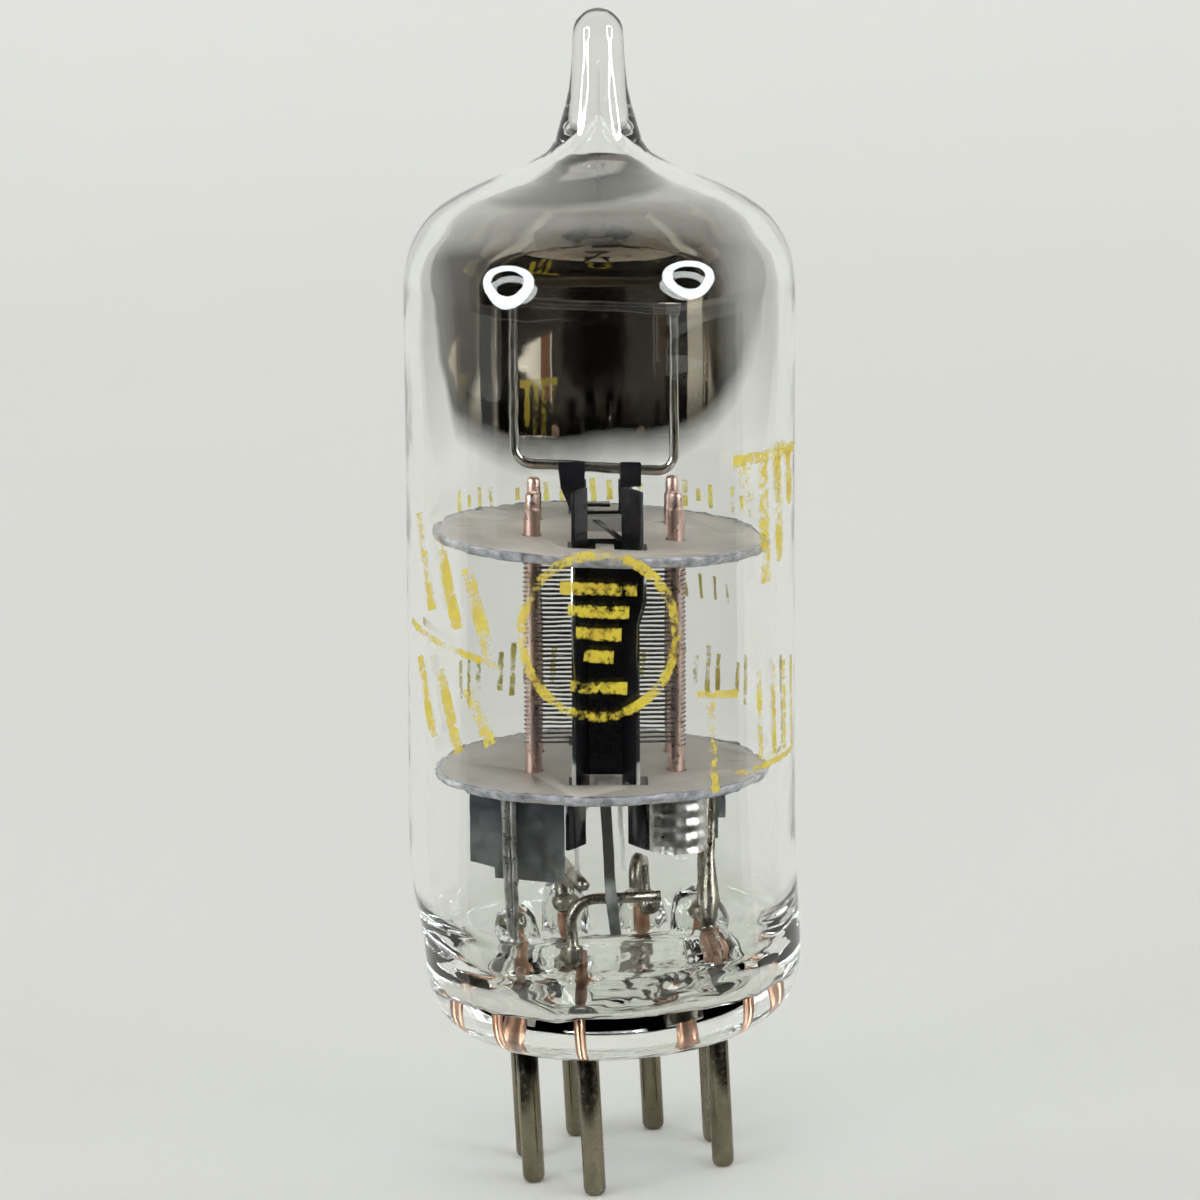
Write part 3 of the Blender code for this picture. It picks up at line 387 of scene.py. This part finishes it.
ledge = [(7.46, 11.1), (7.2, 10.3), (6.98, 9.7), (6.7, 9.3), (6.3, 9.15), (5.95, 9.25), (5.65, 9.5), (5.35, 9.7)]
button_top = [(5.04 - step * 0.36, 9.8) for step in range(15)]
glass = Finish("clear glass", (0.985, 0.992, 0.98), 0.0, ior=1.5, transmission_weight=1)
shadow = glass.node("ShaderNodeLightPath", {}, out="Is Shadow Ray")
clear = glass.node("ShaderNodeBsdfTransparent", {}, (0.9, 0.91, 0.89))
glass.show(glass.node("ShaderNodeMixShader", {}, shadow, glass.surface, clear))
seal_band = glass.spread(glass.along("Z") + (glass.grain(0.3, 3) - 0.5) * 2, 13.4, 11.8)
cords = glass.grain(0.28, 5, 0.6, place=glass.where((1, 1, 3.2)), distortion=0.6)
murk = glass.spread(cords, 0.36, 0.62, 0.3, 1)
glass.set(base_color=glass.blend(seal_band * murk, (0.985, 0.992, 0.98), (0.87, 0.885, 0.83)))
glass.bump(glass.grain(0.35, 2), 0.06, 0.2 * mm)
shape = bmesh.new()
turned(shape, smooth_line(outside, 2), 128)
void = bmesh.new()
turned(void, smooth_line(bore + dome + wall + ledge + button_top, 4), 192)
bmesh.ops.reverse_faces(void, faces=void.faces)
crept_up = ((0.95, 0.85), (1.05, 0.75), (1.2, 2.5), (1.18, 3.05), (1.27, 2.1), (1.5, 2.85), (1.1, 1.5))
for point in void.verts:
    if point.co.z < 12 * mm and point.co.to_2d().length < 7.0 * mm:
        lift = 0
        for spot, (reach, rise) in zip(pin_spots, crept_up):
            away = ((button_frame @ point.co).to_2d() - spot.to_2d()).length / (reach * mm)
            lift = max(lift, rise * mm * math.sqrt(max(1 - away**4, 0)))
        lift += 0.16 * mm * noise.noise(point.co * 500) + 0.05 * mm * noise.noise(point.co * 1500)
        point.co.z += lift


def rear_dent(point):
    """Draw the inner wall in a little where the back of the shoulder begins."""
    rear = max(point.co.y / max(point.co.to_2d().length, 1 * mm), 0)
    level = point.co.z / mm
    dent = 0.2 * min(max((level - 38.6) / 3.4, 0), 1) ** 2 * min(max((45.6 - level) / 2, 0), 1)
    if dent * rear > 0:
        point.co.xy *= 1 - dent * rear * mm / point.co.to_2d().length


for point in void.verts:
    rear_dent(point)
seal_level, seal_reach = 10.9 * mm, 2.8 * mm
for part, ripple in ((void, 0.16 * mm), (shape, 0.03 * mm)):
    for point in part.verts:
        near = max(1 - abs(point.co.z - seal_level) / seal_reach, 0)
        out = point.co.to_2d().length
        if near > 0 and out > 6.5 * mm:
            band = Vector((point.co.x * 160, point.co.y * 160, point.co.z * 750))
            point.co.xy *= 1 + ripple * near * (noise.noise(band) + 0.4 * noise.noise(band * 2.3)) / out
        point.co = seal_blend(point.co)
merge_into(shape, void)
set_down("fused_glass", shape, glass, "clear_glass", "bulb_glass", "stem_button", crease=180)


# Getter film: barium flashed from the trough onto the inside of the dome. It is a black mirror at the back, thins
# to a brown haze at its lower edge, and leaves dark rings about the neck.
film = Finish("getter film", (0.42, 0.39, 0.35), 0.04, 1.0)
height = film.along("Z")
sideways = abs(film.along("X")) * (1 / 5.8)
rear_edge = 32.3 + 1.6 * sideways**4
front_edge = film.spread(film.along("Y"), 1.2, 5.6, 45.2, 31)
edge = rear_edge.most(front_edge) + (film.grain(0.25, 3) - 0.5) * 1.2
thick = film.spread(height - edge, -1.2, 2.4)
haze = film.spread(height + sideways * 2, 38.5, 45, 0, 0.22)
from_axis = film.node("ShaderNodeVectorMath", {"operation": "LENGTH"}, film.where((1, 1, 0)), out="Value")
from_axis = from_axis + (film.grain(0.6, 3) - 0.5) * 0.5
ring = film.spread(from_axis, 1.9, 2.4) * film.spread(from_axis, 4.7, 4.0) + film.spread(from_axis, 1.2, 0.8)
ring = ring * film.spread(height, 44.3, 45)
deposit = film.spread(thick, 0, 0.5) * film.spread(height, 42.8, 44.4, 1, 0.34)
deposit = deposit * film.spread(sideways, 1.05, 1.36, 1, 0.45)
film.set(alpha=haze.most(deposit.most(ring * 0.9)))
mirror = film.blend(film.spread(thick, 0.3, 1), (0.05, 0.04, 0.028), (0.56, 0.5, 0.41))
film.set(base_color=film.blend(ring, mirror, (0.05, 0.042, 0.03)))
film_gap = 0.03
shape = bmesh.new()
turned(shape, [(max(radius - film_gap, 0), level - film_gap) for radius, level in smooth_line(dome, 4)], 96)
for point in shape.verts:
    rear_dent(point)
bmesh.ops.reverse_faces(shape, faces=shape.faces)
set_down("getter_film", shape, film, "bright_nickel", place=bulb_frame, crease=180)


# Print: yellow paint stamped on the outside of the bulb and mostly rubbed away since. It is plain bars and one
# ring with bars in it, and the strokes are thinnest at their edges.
yellow = Finish("worn yellow paint", (0.42, 0.36, 0.012), 0.6)
across_stroke = yellow.node("ShaderNodeAttribute", {"attribute_name": "across"}, out="Fac")
rubbed = yellow.grain(3.2, 6, 0.8) * 0.55 + yellow.grain(0.6, 3) * 0.45 - across_stroke**4 * 0.09
yellow.set(alpha=yellow.spread(rubbed, 0.43, 0.52, 0, 0.92))
yellow.set(base_color=yellow.blend(yellow.spread(yellow.grain(1.1), 0.3, 0.7), (0.7, 0.58, 0.012), (0.58, 0.41, 0.006)))
print_radius = 8.835
stroke_step = 0.4


def stroke(shape, width, *places):
    """Brush a stroke of paint through flat (round the bulb, height) places in millimetres."""
    side_layer = shape.verts.layers.float["across"]
    line = []
    for a, b in zip(places, places[1:]):
        steps = max(round((Vector(b) - Vector(a)).length / stroke_step), 1)
        line += [Vector(a).lerp(Vector(b), step / steps) for step in range(steps)]
    line.append(Vector(places[-1]))
    last = len(line) - 1
    for point in bmesh.ops.create_grid(shape, x_segments=last, y_segments=2, size=1)["verts"]:
        index, side = round((point.co.x + 1) / 2 * last), point.co.y
        along = line[min(index + 1, last)] - line[max(index - 1, 0)]
        place = line[index] + side * along.orthogonal().normalized() * width / 2
        point[side_layer] = abs(side)
        point.co = (*place, 0)


shape = bmesh.new()
shape.verts.layers.float.new("across")
ring_middle, ring_height, ring_half_width, ring_half_height = -0.2, 26.75, 3.5, 3.6
circle = []
for step in range(49):
    angle = step * math.pi / 24
    circle.append((ring_half_width * math.cos(angle) + ring_middle, ring_half_height * math.sin(angle) + ring_height))
stroke(shape, 0.5, *circle)
for level, half in ((28.9, 1.7), (27.9, 1.35), (26.9, 1.0), (25.9, 0.65), (24.5, 1.25)):
    stroke(shape, 0.6, (ring_middle - half, level), (ring_middle + half, level - 0.1))
slanted = ((31.4, 27.2), (30.6, 26.6), (29.4, 25.6), (24.9, 21.4), (24.6, 21.0), (24.0, 21.6))
for index, (top, low) in enumerate(slanted):
    place = -10.4 + index % 3 * 1.9
    stroke(shape, 0.8, (place, top), (place + 1.3, low))
stroke(shape, 0.4, (-11.6, 26.3), (-4.8, 25.2))
for index, low in enumerate((32.2, 28.4, 29.2, 31.6)):
    stroke(shape, 0.95, (6.9 + index * 1.35, 34.0), (7.3 + index * 1.35, low))
for index in range(4):
    stroke(shape, 0.42, (8.0 + index * 1.2, 24.6), (8.2 + index * 1.2, 20.5))
for width, start, stop in (
    (0.6, (6.3, 34.1), (12.2, 34.1)),
    (0.5, (5.0, 23.5), (5.3, 19.4)),
    (0.4, (4.3, 23.9), (6.6, 23.7)),
    (0.35, (7.6, 20.1), (12.2, 20.3)),
    (0.3, (6.2, 20.2), (7.2, 20.0)),
):
    stroke(shape, width, start, stop)
for index in range(23):
    place = 18.4 + index * 0.8
    if index % 5 != 3:
        rise = (0.55, 0.3, 0.62, 0.45)[index % 4]
        stroke(shape, 0.3, (place, 30.4 - rise), (place + 0.05, 30.4 + rise))
for index in range(24):
    place = 18.8 + index * 0.75
    if index % 6 != 2:
        rise = (1.2, 0.7, 1.25, 0.9)[index % 4]
        stroke(shape, 0.36, (place, 22.2 + rise), (place + 0.1, 22.2 - rise))
for index in range(4):
    stroke(shape, 0.2, (20.4 + index * 0.9, 25.6), (20.5 + index * 0.9, 26.7))
for point in shape.verts:
    turn = point.co.x / print_radius
    point.co = Vector((math.sin(turn), -math.cos(turn), 0)) * print_radius * mm + Vector((0, 0, point.co.y * mm))
set_down("yellow_print", shape, yellow, "clear_glass", place=bulb_frame, crease=180)


# Micas: two discs punched from cloudy mica, pierced for every rod and sheet. Their ragged, silvery rims press
# against the bulb and hold the cage in its middle.
def loose_copy(node):
    """A merged copy of a solid's mesh."""
    shape = bmesh.new()
    shape.from_mesh(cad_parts[node].data)
    bmesh.ops.remove_doubles(shape, verts=shape.verts, dist=0.0005 * mm)
    return shape


mica = Finish("cloudy mica", (0.25, 0.23, 0.2), 0.45, specular_ior_level=0.3)
flat_place = mica.node("ShaderNodeUVMap", {"uv_map": "disc"})
from_middle = mica.node("ShaderNodeVectorMath", {"operation": "LENGTH"}, flat_place, out="Value")
worked = mica.spread(from_middle + mica.grain(3, 3) * 0.3, 7.3, 7.55)
veil = mica.blend(mica.spread(mica.grain(0.35, 5), 0.3, 0.7), (0.33, 0.29, 0.245), (0.43, 0.385, 0.335))
flakes = mica.blend(mica.spread(mica.grain(2.2, 4), 0.35, 0.65), (0.17, 0.165, 0.17), (0.4, 0.39, 0.41))
mica.set(base_color=mica.blend(worked, veil, flakes), roughness=0.42 - worked * 0.22)
mica.bump(mica.grain(1.4, 5) * (0.12 + worked * 0.88), 0.3, 0.12 * mm)
rim_start, mica_thickness = 7.1 * mm, 0.45 * mm
for node, tilt, level in (("mica_top", 2.3, 30.0), ("mica_bottom", 0, 19.3)):
    shape = loose_copy(node)
    disc = bulb_frame @ Matrix.Translation((0, 0, level * mm)) @ Matrix.Rotation(math.radians(tilt), 4, "Y")
    shape.transform(disc.inverted())
    bmesh.ops.dissolve_limit(shape, angle_limit=0.01, verts=shape.verts, edges=shape.edges)
    outer = [e for e in shape.edges if min(v.co.to_2d().length for v in e.verts) > rim_start]
    flat = [e for e in outer if abs(e.verts[0].co.z - e.verts[1].co.z) < 0.01 * mm]
    bmesh.ops.subdivide_edges(shape, edges=flat, cuts=9)
    outer = [e for e in shape.edges if min(v.co.to_2d().length for v in e.verts) > rim_start]
    upright = [e for e in outer if abs(e.verts[0].co.z - e.verts[1].co.z) > 0.2 * mm]
    bmesh.ops.subdivide_edges(shape, edges=upright, cuts=4)
    for point in shape.verts:
        out = point.co.to_2d().length
        if out > rim_start:
            place = point.co * 1000 + Vector((0, 0, level))
            rag = noise.noise(place * 1.1) + 0.8 * noise.noise(place * 3) + 0.5 * noise.noise(place * 8)
            bulge = 1 - (2 * abs(point.co.z) / mica_thickness) ** 2
            point.co.xy = point.co.to_2d().normalized() * (out + (0.1 * rag + 0.07 * bulge) * mm)
            point.co.z += 0.1 * max(bulge, 0) * noise.noise(place * 2.1 + Vector((7, 7, 7))) * mm
    flat = shape.loops.layers.uv.new("disc")
    for face in shape.faces:
        for corner in face.loops:
            corner[flat].uv = corner.vert.co.to_2d() * 1000
    set_down(node + "_disc", shape, mica, "mica", node, place=disc, crease=50)


# Anodes: two sheets of nickel, folded and then blackened with carbon to shed heat. Their cut edges stay bright.
# The strips and straps above the top mica are cut from the same sheet and spot-welded on. A black block under the
# front sheet's lower edge is painted shade.
cage_frame = bulb_frame @ Matrix.Translation((0.14 * mm, 0.3 * mm, 0))
black = Finish("carbonised nickel", (0.01, 0.01, 0.011), 0.3, specular_ior_level=0.12)
bare = black.node("ShaderNodeAttribute", {"attribute_name": "bare"}, out="Fac")
soot = black.blend(black.spread(black.grain(6, 4), 0.35, 0.7), (0.004, 0.004, 0.005), (0.014, 0.014, 0.016))
black.set(base_color=black.blend(bare, soot, (0.7, 0.7, 0.68)), metallic=bare)
black.set(roughness=black.spread(black.grain(1.5, 4), 0.3, 0.7, 0.06, 0.15))
black.bump(black.grain(4, 3), 0.1, 0.04 * mm)
fold_angle, edge_round, front_face = 0.9, 0.085 * mm, 5.25 * mm
for node in ("anode_front", "anode_rear", "getter_tab_left", "getter_tab_right", "rear_strap", "cathode_strap"):
    shape = loose_copy(node)
    bmesh.ops.dissolve_limit(shape, angle_limit=0.02, verts=shape.verts, edges=shape.edges)
    if node == "anode_front":
        # Painted shade: a black block fills the gap between the front sheet's lower edge and the bottom mica, where
        # shade falls.
        gap_shade_block = Matrix.Translation((0, -3.72 * mm, 20.1 * mm)) @ Matrix.Diagonal((1.7 * mm, 0.16 * mm, 1.26 * mm, 1))
        bmesh.ops.create_cube(shape, size=1, matrix=cage_frame @ gap_shade_block)
    sharp = [e for e in shape.edges if len(e.link_faces) == 2 and e.calc_face_angle(0) > fold_angle]
    bmesh.ops.bevel(
        shape,
        geom=sharp,
        offset=edge_round,
        offset_type="OFFSET",
        affect="EDGES",
        segments=2,
        profile=0.5,
        material=-1,
        clamp_overlap=True,
    )
    cut = shape.faces.layers.float.new("bare")
    for face in shape.faces:
        middle = cage_frame.inverted() @ face.calc_center_median()
        way = cage_frame.inverted().to_3x3() @ face.normal
        face[cut] = float("anode" in node and abs(middle.y) > front_face and abs(way.y) > 0.8)
    set_down(node + "_sheet", shape, black, "anode_black", node, crease=30)


# Grid rods: four rods of drawn copper, two to a grid, swaged thinner where they pass the top mica. The winding is
# pressed into notches along them.
copper = Finish("drawn copper", (0.72, 0.45, 0.37), 0.25, 1.0)
tarnish = copper.spread(copper.grain(0.6, 4, place=copper.where((1, 1, 0.3))), 0.35, 0.7)
copper.set(base_color=copper.blend(tarnish, (0.76, 0.54, 0.46), (0.52, 0.34, 0.28)))
copper.set(roughness=copper.spread(copper.grain(3, 3), 0.3, 0.7, 0.24, 0.38))
copper.bump(copper.grain(2.5, 2, place=copper.where((1, 1, 0.2))), 0.04, 0.05 * mm)
rod_across, rod_depth = 3.21, 2.15
rod = [(0, 32.05), (0.2, 32.04), (0.28, 31.95), (0.31, 31.8), (0.31, 31.36), (0.37, 31.26), (0.37, 18.32)]
rod += [(0.35, 18.3), (0, 18.3)]
for y, depth_name in ((-rod_depth, "front"), (rod_depth, "rear")):
    for x, side_name in ((-rod_across, "left"), (rod_across, "right")):
        shape = bmesh.new()
        turned(shape, rod, 28)
        spot = cage_frame @ Matrix.Translation((x * mm, y * mm, 0))
        node = f"grid_{depth_name}_rod_{side_name}"
        set_down(f"rod_{depth_name}_{side_name}", shape, copper, "rod_copper", node, place=spot, crease=25)


# Grid windings: one hair-fine nickel wire for each grid, wound round both of its rods by machine with the turns a
# fifth of a millimetre apart.
def wire_mesh(name, route, radius, sides, radii=None):
    """A bmesh of a round wire along a route of points."""
    drawn = bpy.data.curves.new(name, "CURVE")
    drawn.dimensions = "3D"
    drawn.bevel_depth = radius
    drawn.bevel_resolution = sides // 4
    drawn.use_fill_caps = True
    line = drawn.splines.new("POLY")
    line.points.add(len(route) - 1)
    for index, (point, place) in enumerate(zip(line.points, route)):
        point.co = (*place, 1)
        point.radius = radii[index] if radii else 1
    path = bpy.data.objects.new(name, drawn)
    bpy.context.scene.collection.objects.link(path)
    mesh = bpy.data.meshes.new_from_object(path.evaluated_get(bpy.context.evaluated_depsgraph_get()))
    bpy.data.objects.remove(path)
    shape = bmesh.new()
    shape.from_mesh(mesh)
    bmesh.ops.remove_doubles(shape, verts=shape.verts, dist=0.0005 * mm)
    bmesh.ops.recalc_face_normals(shape, faces=shape.faces)
    return shape


fine = Finish("fine nickel wire", (0.2, 0.19, 0.17), 0.35, 1.0)
fine.set(base_color=fine.blend(fine.spread(fine.grain(3), 0.35, 0.65), (0.12, 0.11, 0.1), (0.26, 0.25, 0.23)))
wound_height, wrap, sink, rear_climb = 8.7, 0.4, 0.33, 0.052
for y, name, start, pitch in ((-rod_depth, "front", 20.5, 0.21), (rod_depth, "rear", 20.64, 0.2138)):
    route = []
    for turn in range(round(wound_height / pitch)):
        for side in (1, -1):
            for step in range(7):
                share = step / 6
                angle = (share - 0.5) * math.pi + (0 if side > 0 else math.pi)
                climb = rear_climb * share if side > 0 else rear_climb + (pitch - rear_climb) * share
                level = start + pitch * turn + climb + 0.012 * noise.noise(Vector((turn * 1.7, side * 3.1, y)))
                reach = side * rod_across + wrap * math.cos(angle)
                route.append(Vector((reach, y + sink * math.sin(angle), level)) * mm)
    shape = wire_mesh("grid", route, 0.04 * mm, 4)
    set_down("winding_" + name, shape, fine, "grid_wire", f"grid_{name}_winding", place=cage_frame, crease=60)


# Cathode and heater: a flat nickel tube sprayed with white oxide, bare and browned at its top end, and the folded
# wire with the same coat that heats it from inside.
oxide = Finish("oxide coat", (0.78, 0.78, 0.75), 0.85)
sprayed = oxide.blend(oxide.spread(oxide.grain(4), 0.3, 0.7), (0.7, 0.69, 0.65), (0.82, 0.82, 0.79))
oxide.set(base_color=oxide.blend(oxide.spread(oxide.along("Z"), 29.6, 29.8), sprayed, (0.15, 0.135, 0.115)))
oxide.bump(oxide.grain(12, 3), 0.3, 0.03 * mm)
for node in ("cathode_sleeve", "heater"):
    set_down(node + "_coated", loose_copy(node), oxide, "cathode_coat", node, crease=30)


# Getter: a nickel wire bent to a frame with round corners, and the small pressed trough across its top that held
# the barium. Both hang a little askew behind the top of the cage.
bright = Finish("bright nickel", (0.66, 0.64, 0.6), 0.16, 1.0)
smear = bright.spread(bright.grain(0.8, 4), 0.35, 0.7)
bright.set(base_color=bright.blend(smear, (0.66, 0.64, 0.6), (0.5, 0.47, 0.42)))
bright.set(roughness=bright.spread(bright.grain(1, 3), 0.3, 0.7, 0.1, 0.18))
getter_tilt = math.radians(3.5)
getter_middle, getter_depth, getter_top = -0.39, 3.6, 39.9
frame_half, corner_radius, corner_level = 3.75, 0.8, 33.02


def getter_place(x, height):
    """A place on the getter, in millimetres: its bars slope, its legs stand upright."""
    return Vector((x + getter_middle, getter_depth, height - math.tan(getter_tilt) * x)) * mm


route = [getter_place(-frame_half, getter_top)]
for side in (-1, 1):
    bend = []
    for step in range(9):
        angle = step / 8 * math.pi / 2
        reach = frame_half - corner_radius + corner_radius * math.cos(angle)
        bend.append(getter_place(side * reach, corner_level - corner_radius * math.sin(angle)))
    route += bend if side < 0 else bend[::-1]
route.append(getter_place(frame_half, getter_top))
shape = wire_mesh("getter", route, 0.24 * mm, 16)
set_down("getter_wire", shape, bright, "bright_nickel", "getter_frame", place=cage_frame, crease=50)
trough_length, trough_round = 8.1 * mm, 0.033 * mm
shape = bmesh.new()
for height, tall, deep in ((0, 0.54, 0.28), (0.25, 0.1, 0.42), (0.03, 0.07, 0.38), (-0.25, 0.1, 0.42)):
    size = Matrix.Diagonal((trough_length, deep * mm, tall * mm, 1))
    bmesh.ops.create_cube(shape, size=1, matrix=Matrix.Translation((0, 0, height * mm)) @ size)
bmesh.ops.bevel(
    shape,
    geom=shape.edges[:],
    offset=trough_round,
    offset_type="OFFSET",
    affect="EDGES",
    segments=3,
    profile=0.5,
    material=-1,
)
hung = Matrix.Translation((getter_middle * mm, 3.02 * mm, 39.82 * mm)) @ Matrix.Rotation(getter_tilt, 4, "Y")
set_down("getter_channel", shape, bright, "bright_nickel", "getter_trough", place=cage_frame @ hung, crease=30)


# Sheets below the bottom mica: a wide plate, two narrow strips and a ribbon, sheared from dull nickel and
# spot-welded to the electrodes.
dull = Finish("dull nickel", (0.2, 0.2, 0.2), 0.35, 1.0)
cloudy = dull.spread(dull.grain(0.45, 4), 0.35, 0.65)
lower = dull.spread(dull.along("Z") + (cloudy - 0.5) * 2, 18.5, 14.5)
dull.set(base_color=dull.blend(lower, (0.125, 0.135, 0.15), (0.29, 0.285, 0.265)))
dull.set(roughness=dull.spread(dull.grain(2, 4), 0.3, 0.7, 0.28, 0.5))
dull.bump(dull.grain(5, 3), 0.1, 0.03 * mm)
for node in ("grid_plate", "anode_strip_rear", "anode_strip_front", "cathode_ribbon"):
    shape = loose_copy(node)
    bmesh.ops.dissolve_limit(shape, angle_limit=0.02, verts=shape.verts, edges=shape.edges)
    set_down(node + "_sheet", shape, dull, "dull_nickel", node, crease=30)


# Grid clip: bright nickel foil crimped in five beads and wrapped half round the front right rod, under the mica.
# It joins the rod to its lead.
foil = Finish("crimped nickel foil", (0.6, 0.58, 0.55), 0.38, 1.0)
foil.set(base_color=foil.blend(foil.spread(foil.grain(2.2, 5), 0.35, 0.65), (0.68, 0.66, 0.63), (0.36, 0.33, 0.28)))
foil.set(roughness=foil.spread(foil.grain(3, 3), 0.3, 0.7, 0.26, 0.46))
foil.bump(foil.grain(3.5, 4), 0.35, 0.06 * mm)
clip_radius, clip_top, clip_height, beads, bead_rise = 1.22, 18.98, 3.3, 5, 0.045
crimps, crimp_rise, foil_thickness = 15, 0.02 * mm, 0.12 * mm
shape = bmesh.new()
sleeve = []
for step in range(49):
    radius = clip_radius + bead_rise * math.cos(step / 48 * beads * 2 * math.pi)
    sleeve.append(shape.verts.new((radius * mm, 0, (clip_top - step * clip_height / 48) * mm)))
edges = [shape.edges.new(pair) for pair in zip(sleeve, sleeve[1:])]
bmesh.ops.rotate(shape, verts=sleeve, cent=(0, 0, 0), matrix=Matrix.Rotation(math.radians(167), 3, "Z"))
bmesh.ops.spin(shape, geom=sleeve + edges, cent=(0, 0, 0), axis=(0, 0, 1), angle=math.radians(206), steps=48)
bmesh.ops.recalc_face_normals(shape, faces=shape.faces)
bmesh.ops.solidify(shape, geom=shape.faces[:], thickness=foil_thickness)
noise.seed_set(7)
for point in shape.verts:
    crimp = math.cos(math.atan2(point.co.y, point.co.x) * crimps) * crimp_rise
    point.co.xy *= 1 + crimp / point.co.to_2d().length
    point.co += 0.04 * mm * noise.noise_vector(point.co * 1700)
rod_place = cage_frame @ Matrix.Translation((rod_across * mm, -rod_depth * mm, 0))
set_down("grid_clip_sleeve", shape, foil, "bright_nickel", "grid_clip", place=rod_place, crease=60)


# Leads: nickel wires butt-welded to the seal wires, each with a dark round bead at the weld. The front grid's lead
# is a doubled, scraped strip, and the front anode's is thickened by a lump of weld.
lead_metal = Finish("drawn nickel", (0.45, 0.42, 0.37), 0.28, 1.0)
scale_marks = lead_metal.spread(lead_metal.grain(0.9, 5), 0.35, 0.68)
lead_metal.set(base_color=lead_metal.blend(scale_marks, (0.34, 0.31, 0.25), (0.1, 0.085, 0.06)))
lead_metal.set(roughness=lead_metal.spread(lead_metal.grain(3, 3), 0.3, 0.7, 0.18, 0.42))
for node in ("lead_rear_grid", "lead_heater_left", "lead_heater_right", "lead_cathode", "lead_rear_anode"):
    set_down(node + "_wire", loose_copy(node), lead_metal, "lead_nickel", node, crease=50)


def add_bead(shape, radius, place):
    """A round weld bead on a lead."""
    place = Matrix.Translation(Vector(place) * mm)
    bmesh.ops.create_uvsphere(shape, u_segments=24, v_segments=12, radius=radius * mm, matrix=place)


silvery = Finish("scraped nickel", (0.6, 0.58, 0.54), 0.2, 1.0)
scraped = silvery.spread(silvery.grain(1.2, 5), 0.38, 0.66)
silvery.set(base_color=silvery.blend(scraped, (0.62, 0.6, 0.56), (0.24, 0.22, 0.17)))
silvery.set(roughness=silvery.spread(silvery.grain(2, 3), 0.3, 0.7, 0.24, 0.42))
silvery.bump(silvery.grain(1.5, 3), 0.25, 0.06 * mm)
doubled = bmesh.new()
for side, finer in ((-1, 0.17), (1, 0.155)):
    route = []
    for step in range(33):
        share = step / 32
        apart = 0.165 * side * (1 - 0.75 * share**6)
        wander = 0.04 * noise.noise(Vector((share * 6, side * 5, 0)))
        route.append(Vector((-4.56 - 0.2 * share + apart + wander, -2.16 + 0.06 * share, 18.9 - 7.55 * share)) * mm)
    merge_into(doubled, wire_mesh("strand", route, finer * mm, 12))
add_bead(doubled, 0.4, (-4.782, -2.1, 11.195))
set_down("lead_front_grid_strip", doubled, silvery, "lead_nickel", "lead_front_grid", crease=50)
route = [(4.72, 0.05, 18.6), (4.69, 0.02, 17.0), (4.54, -0.19, 15.7), (4.4, -0.55, 14.7), (4.33, -0.78, 13.7)]
route += [(4.27, -1.0, 12.9), (4.2, -1.2, 12.1), (4.16, -1.3, 11.45), (4.16, -1.33, 11.0)]
swell = (0.95, 1, 1.1, 1.5, 2.3, 2.75, 2.6, 2.2, 1.2)
shape = wire_mesh("bundle", [Vector(place) * mm for place in route], 0.16 * mm, 16, radii=swell)
for point in shape.verts:
    point.co += 0.05 * mm * noise.noise_vector(point.co * 1500)
add_bead(shape, 0.45, (4.16, -1.33, 11.25))
set_down("lead_front_anode_bundle", shape, lead_metal, "lead_nickel", "lead_front_anode", crease=50)


# Seal wires: seven short wires with a copper skin, to which the glass of the button takes hold airtight. Each is
# thinner inside the glass.
clad = Finish("copper cladding", (0.75, 0.4, 0.27), 0.3, 1.0)
clad.set(base_color=clad.blend(clad.spread(clad.grain(1.5, 4), 0.35, 0.7), (0.48, 0.27, 0.18), (0.26, 0.135, 0.085)))
seal_wire = [(0, 11.1), (0.26, 11.1), (0.25, 9.6), (0.22, 9.2), (0.22, 7.85), (0, 7.85)]
for number, spot in enumerate(pin_spots, 1):
    shape = bmesh.new()
    turned(shape, seal_wire, 20)
    place = Matrix.Translation(spot)
    set_down(f"seal_copper_{number}", shape, clad, "seal_copper", f"seal_wire_{number}", place=place, crease=40)


# Pins: seven hard nickel-iron wires with rounded tips, moulded into the button. Heat has burnt and stained them
# where they leave the glass.
pin_metal = Finish("dull pin metal", (0.3, 0.26, 0.2), 0.3, 1.0)
stain = pin_metal.grain(0.8, 5, place=pin_metal.where((1, 1, 0.4)))
leftmost = pin_metal.spread(pin_metal.along("X"), -4, -1.5, 1.1, 0)
burnt = pin_metal.spread(pin_metal.along("Z") + leftmost + (stain - 0.5) * 3, 5.9, 6.7)
brushed = pin_metal.blend(pin_metal.spread(stain, 0.35, 0.68), (0.27, 0.24, 0.17), (0.13, 0.11, 0.068))
pin_metal.set(base_color=pin_metal.blend(burnt, brushed, (0.03, 0.026, 0.02)))
pin_metal.set(roughness=pin_metal.spread(pin_metal.grain(4, 3), 0.3, 0.7, 0.16, 0.3))
pin_metal.bump(pin_metal.grain(6, 3, place=pin_metal.where((1, 1, 0.15))), 0.08, 0.03 * mm)
pin = [(0, 7.85), (0.4, 7.85), (0.508, 7.4), (0.508, 0.32), (0.46, 0.14), (0.34, 0.03), (0.2, 0), (0, 0)]
for number, spot in enumerate(pin_spots, 1):
    shape = bmesh.new()
    turned(shape, pin, 32)
    place = Matrix.Translation(spot)
    set_down(f"pin_metal_{number}", shape, pin_metal, "pin_metal", f"pin_{number}", place=place, crease=40)
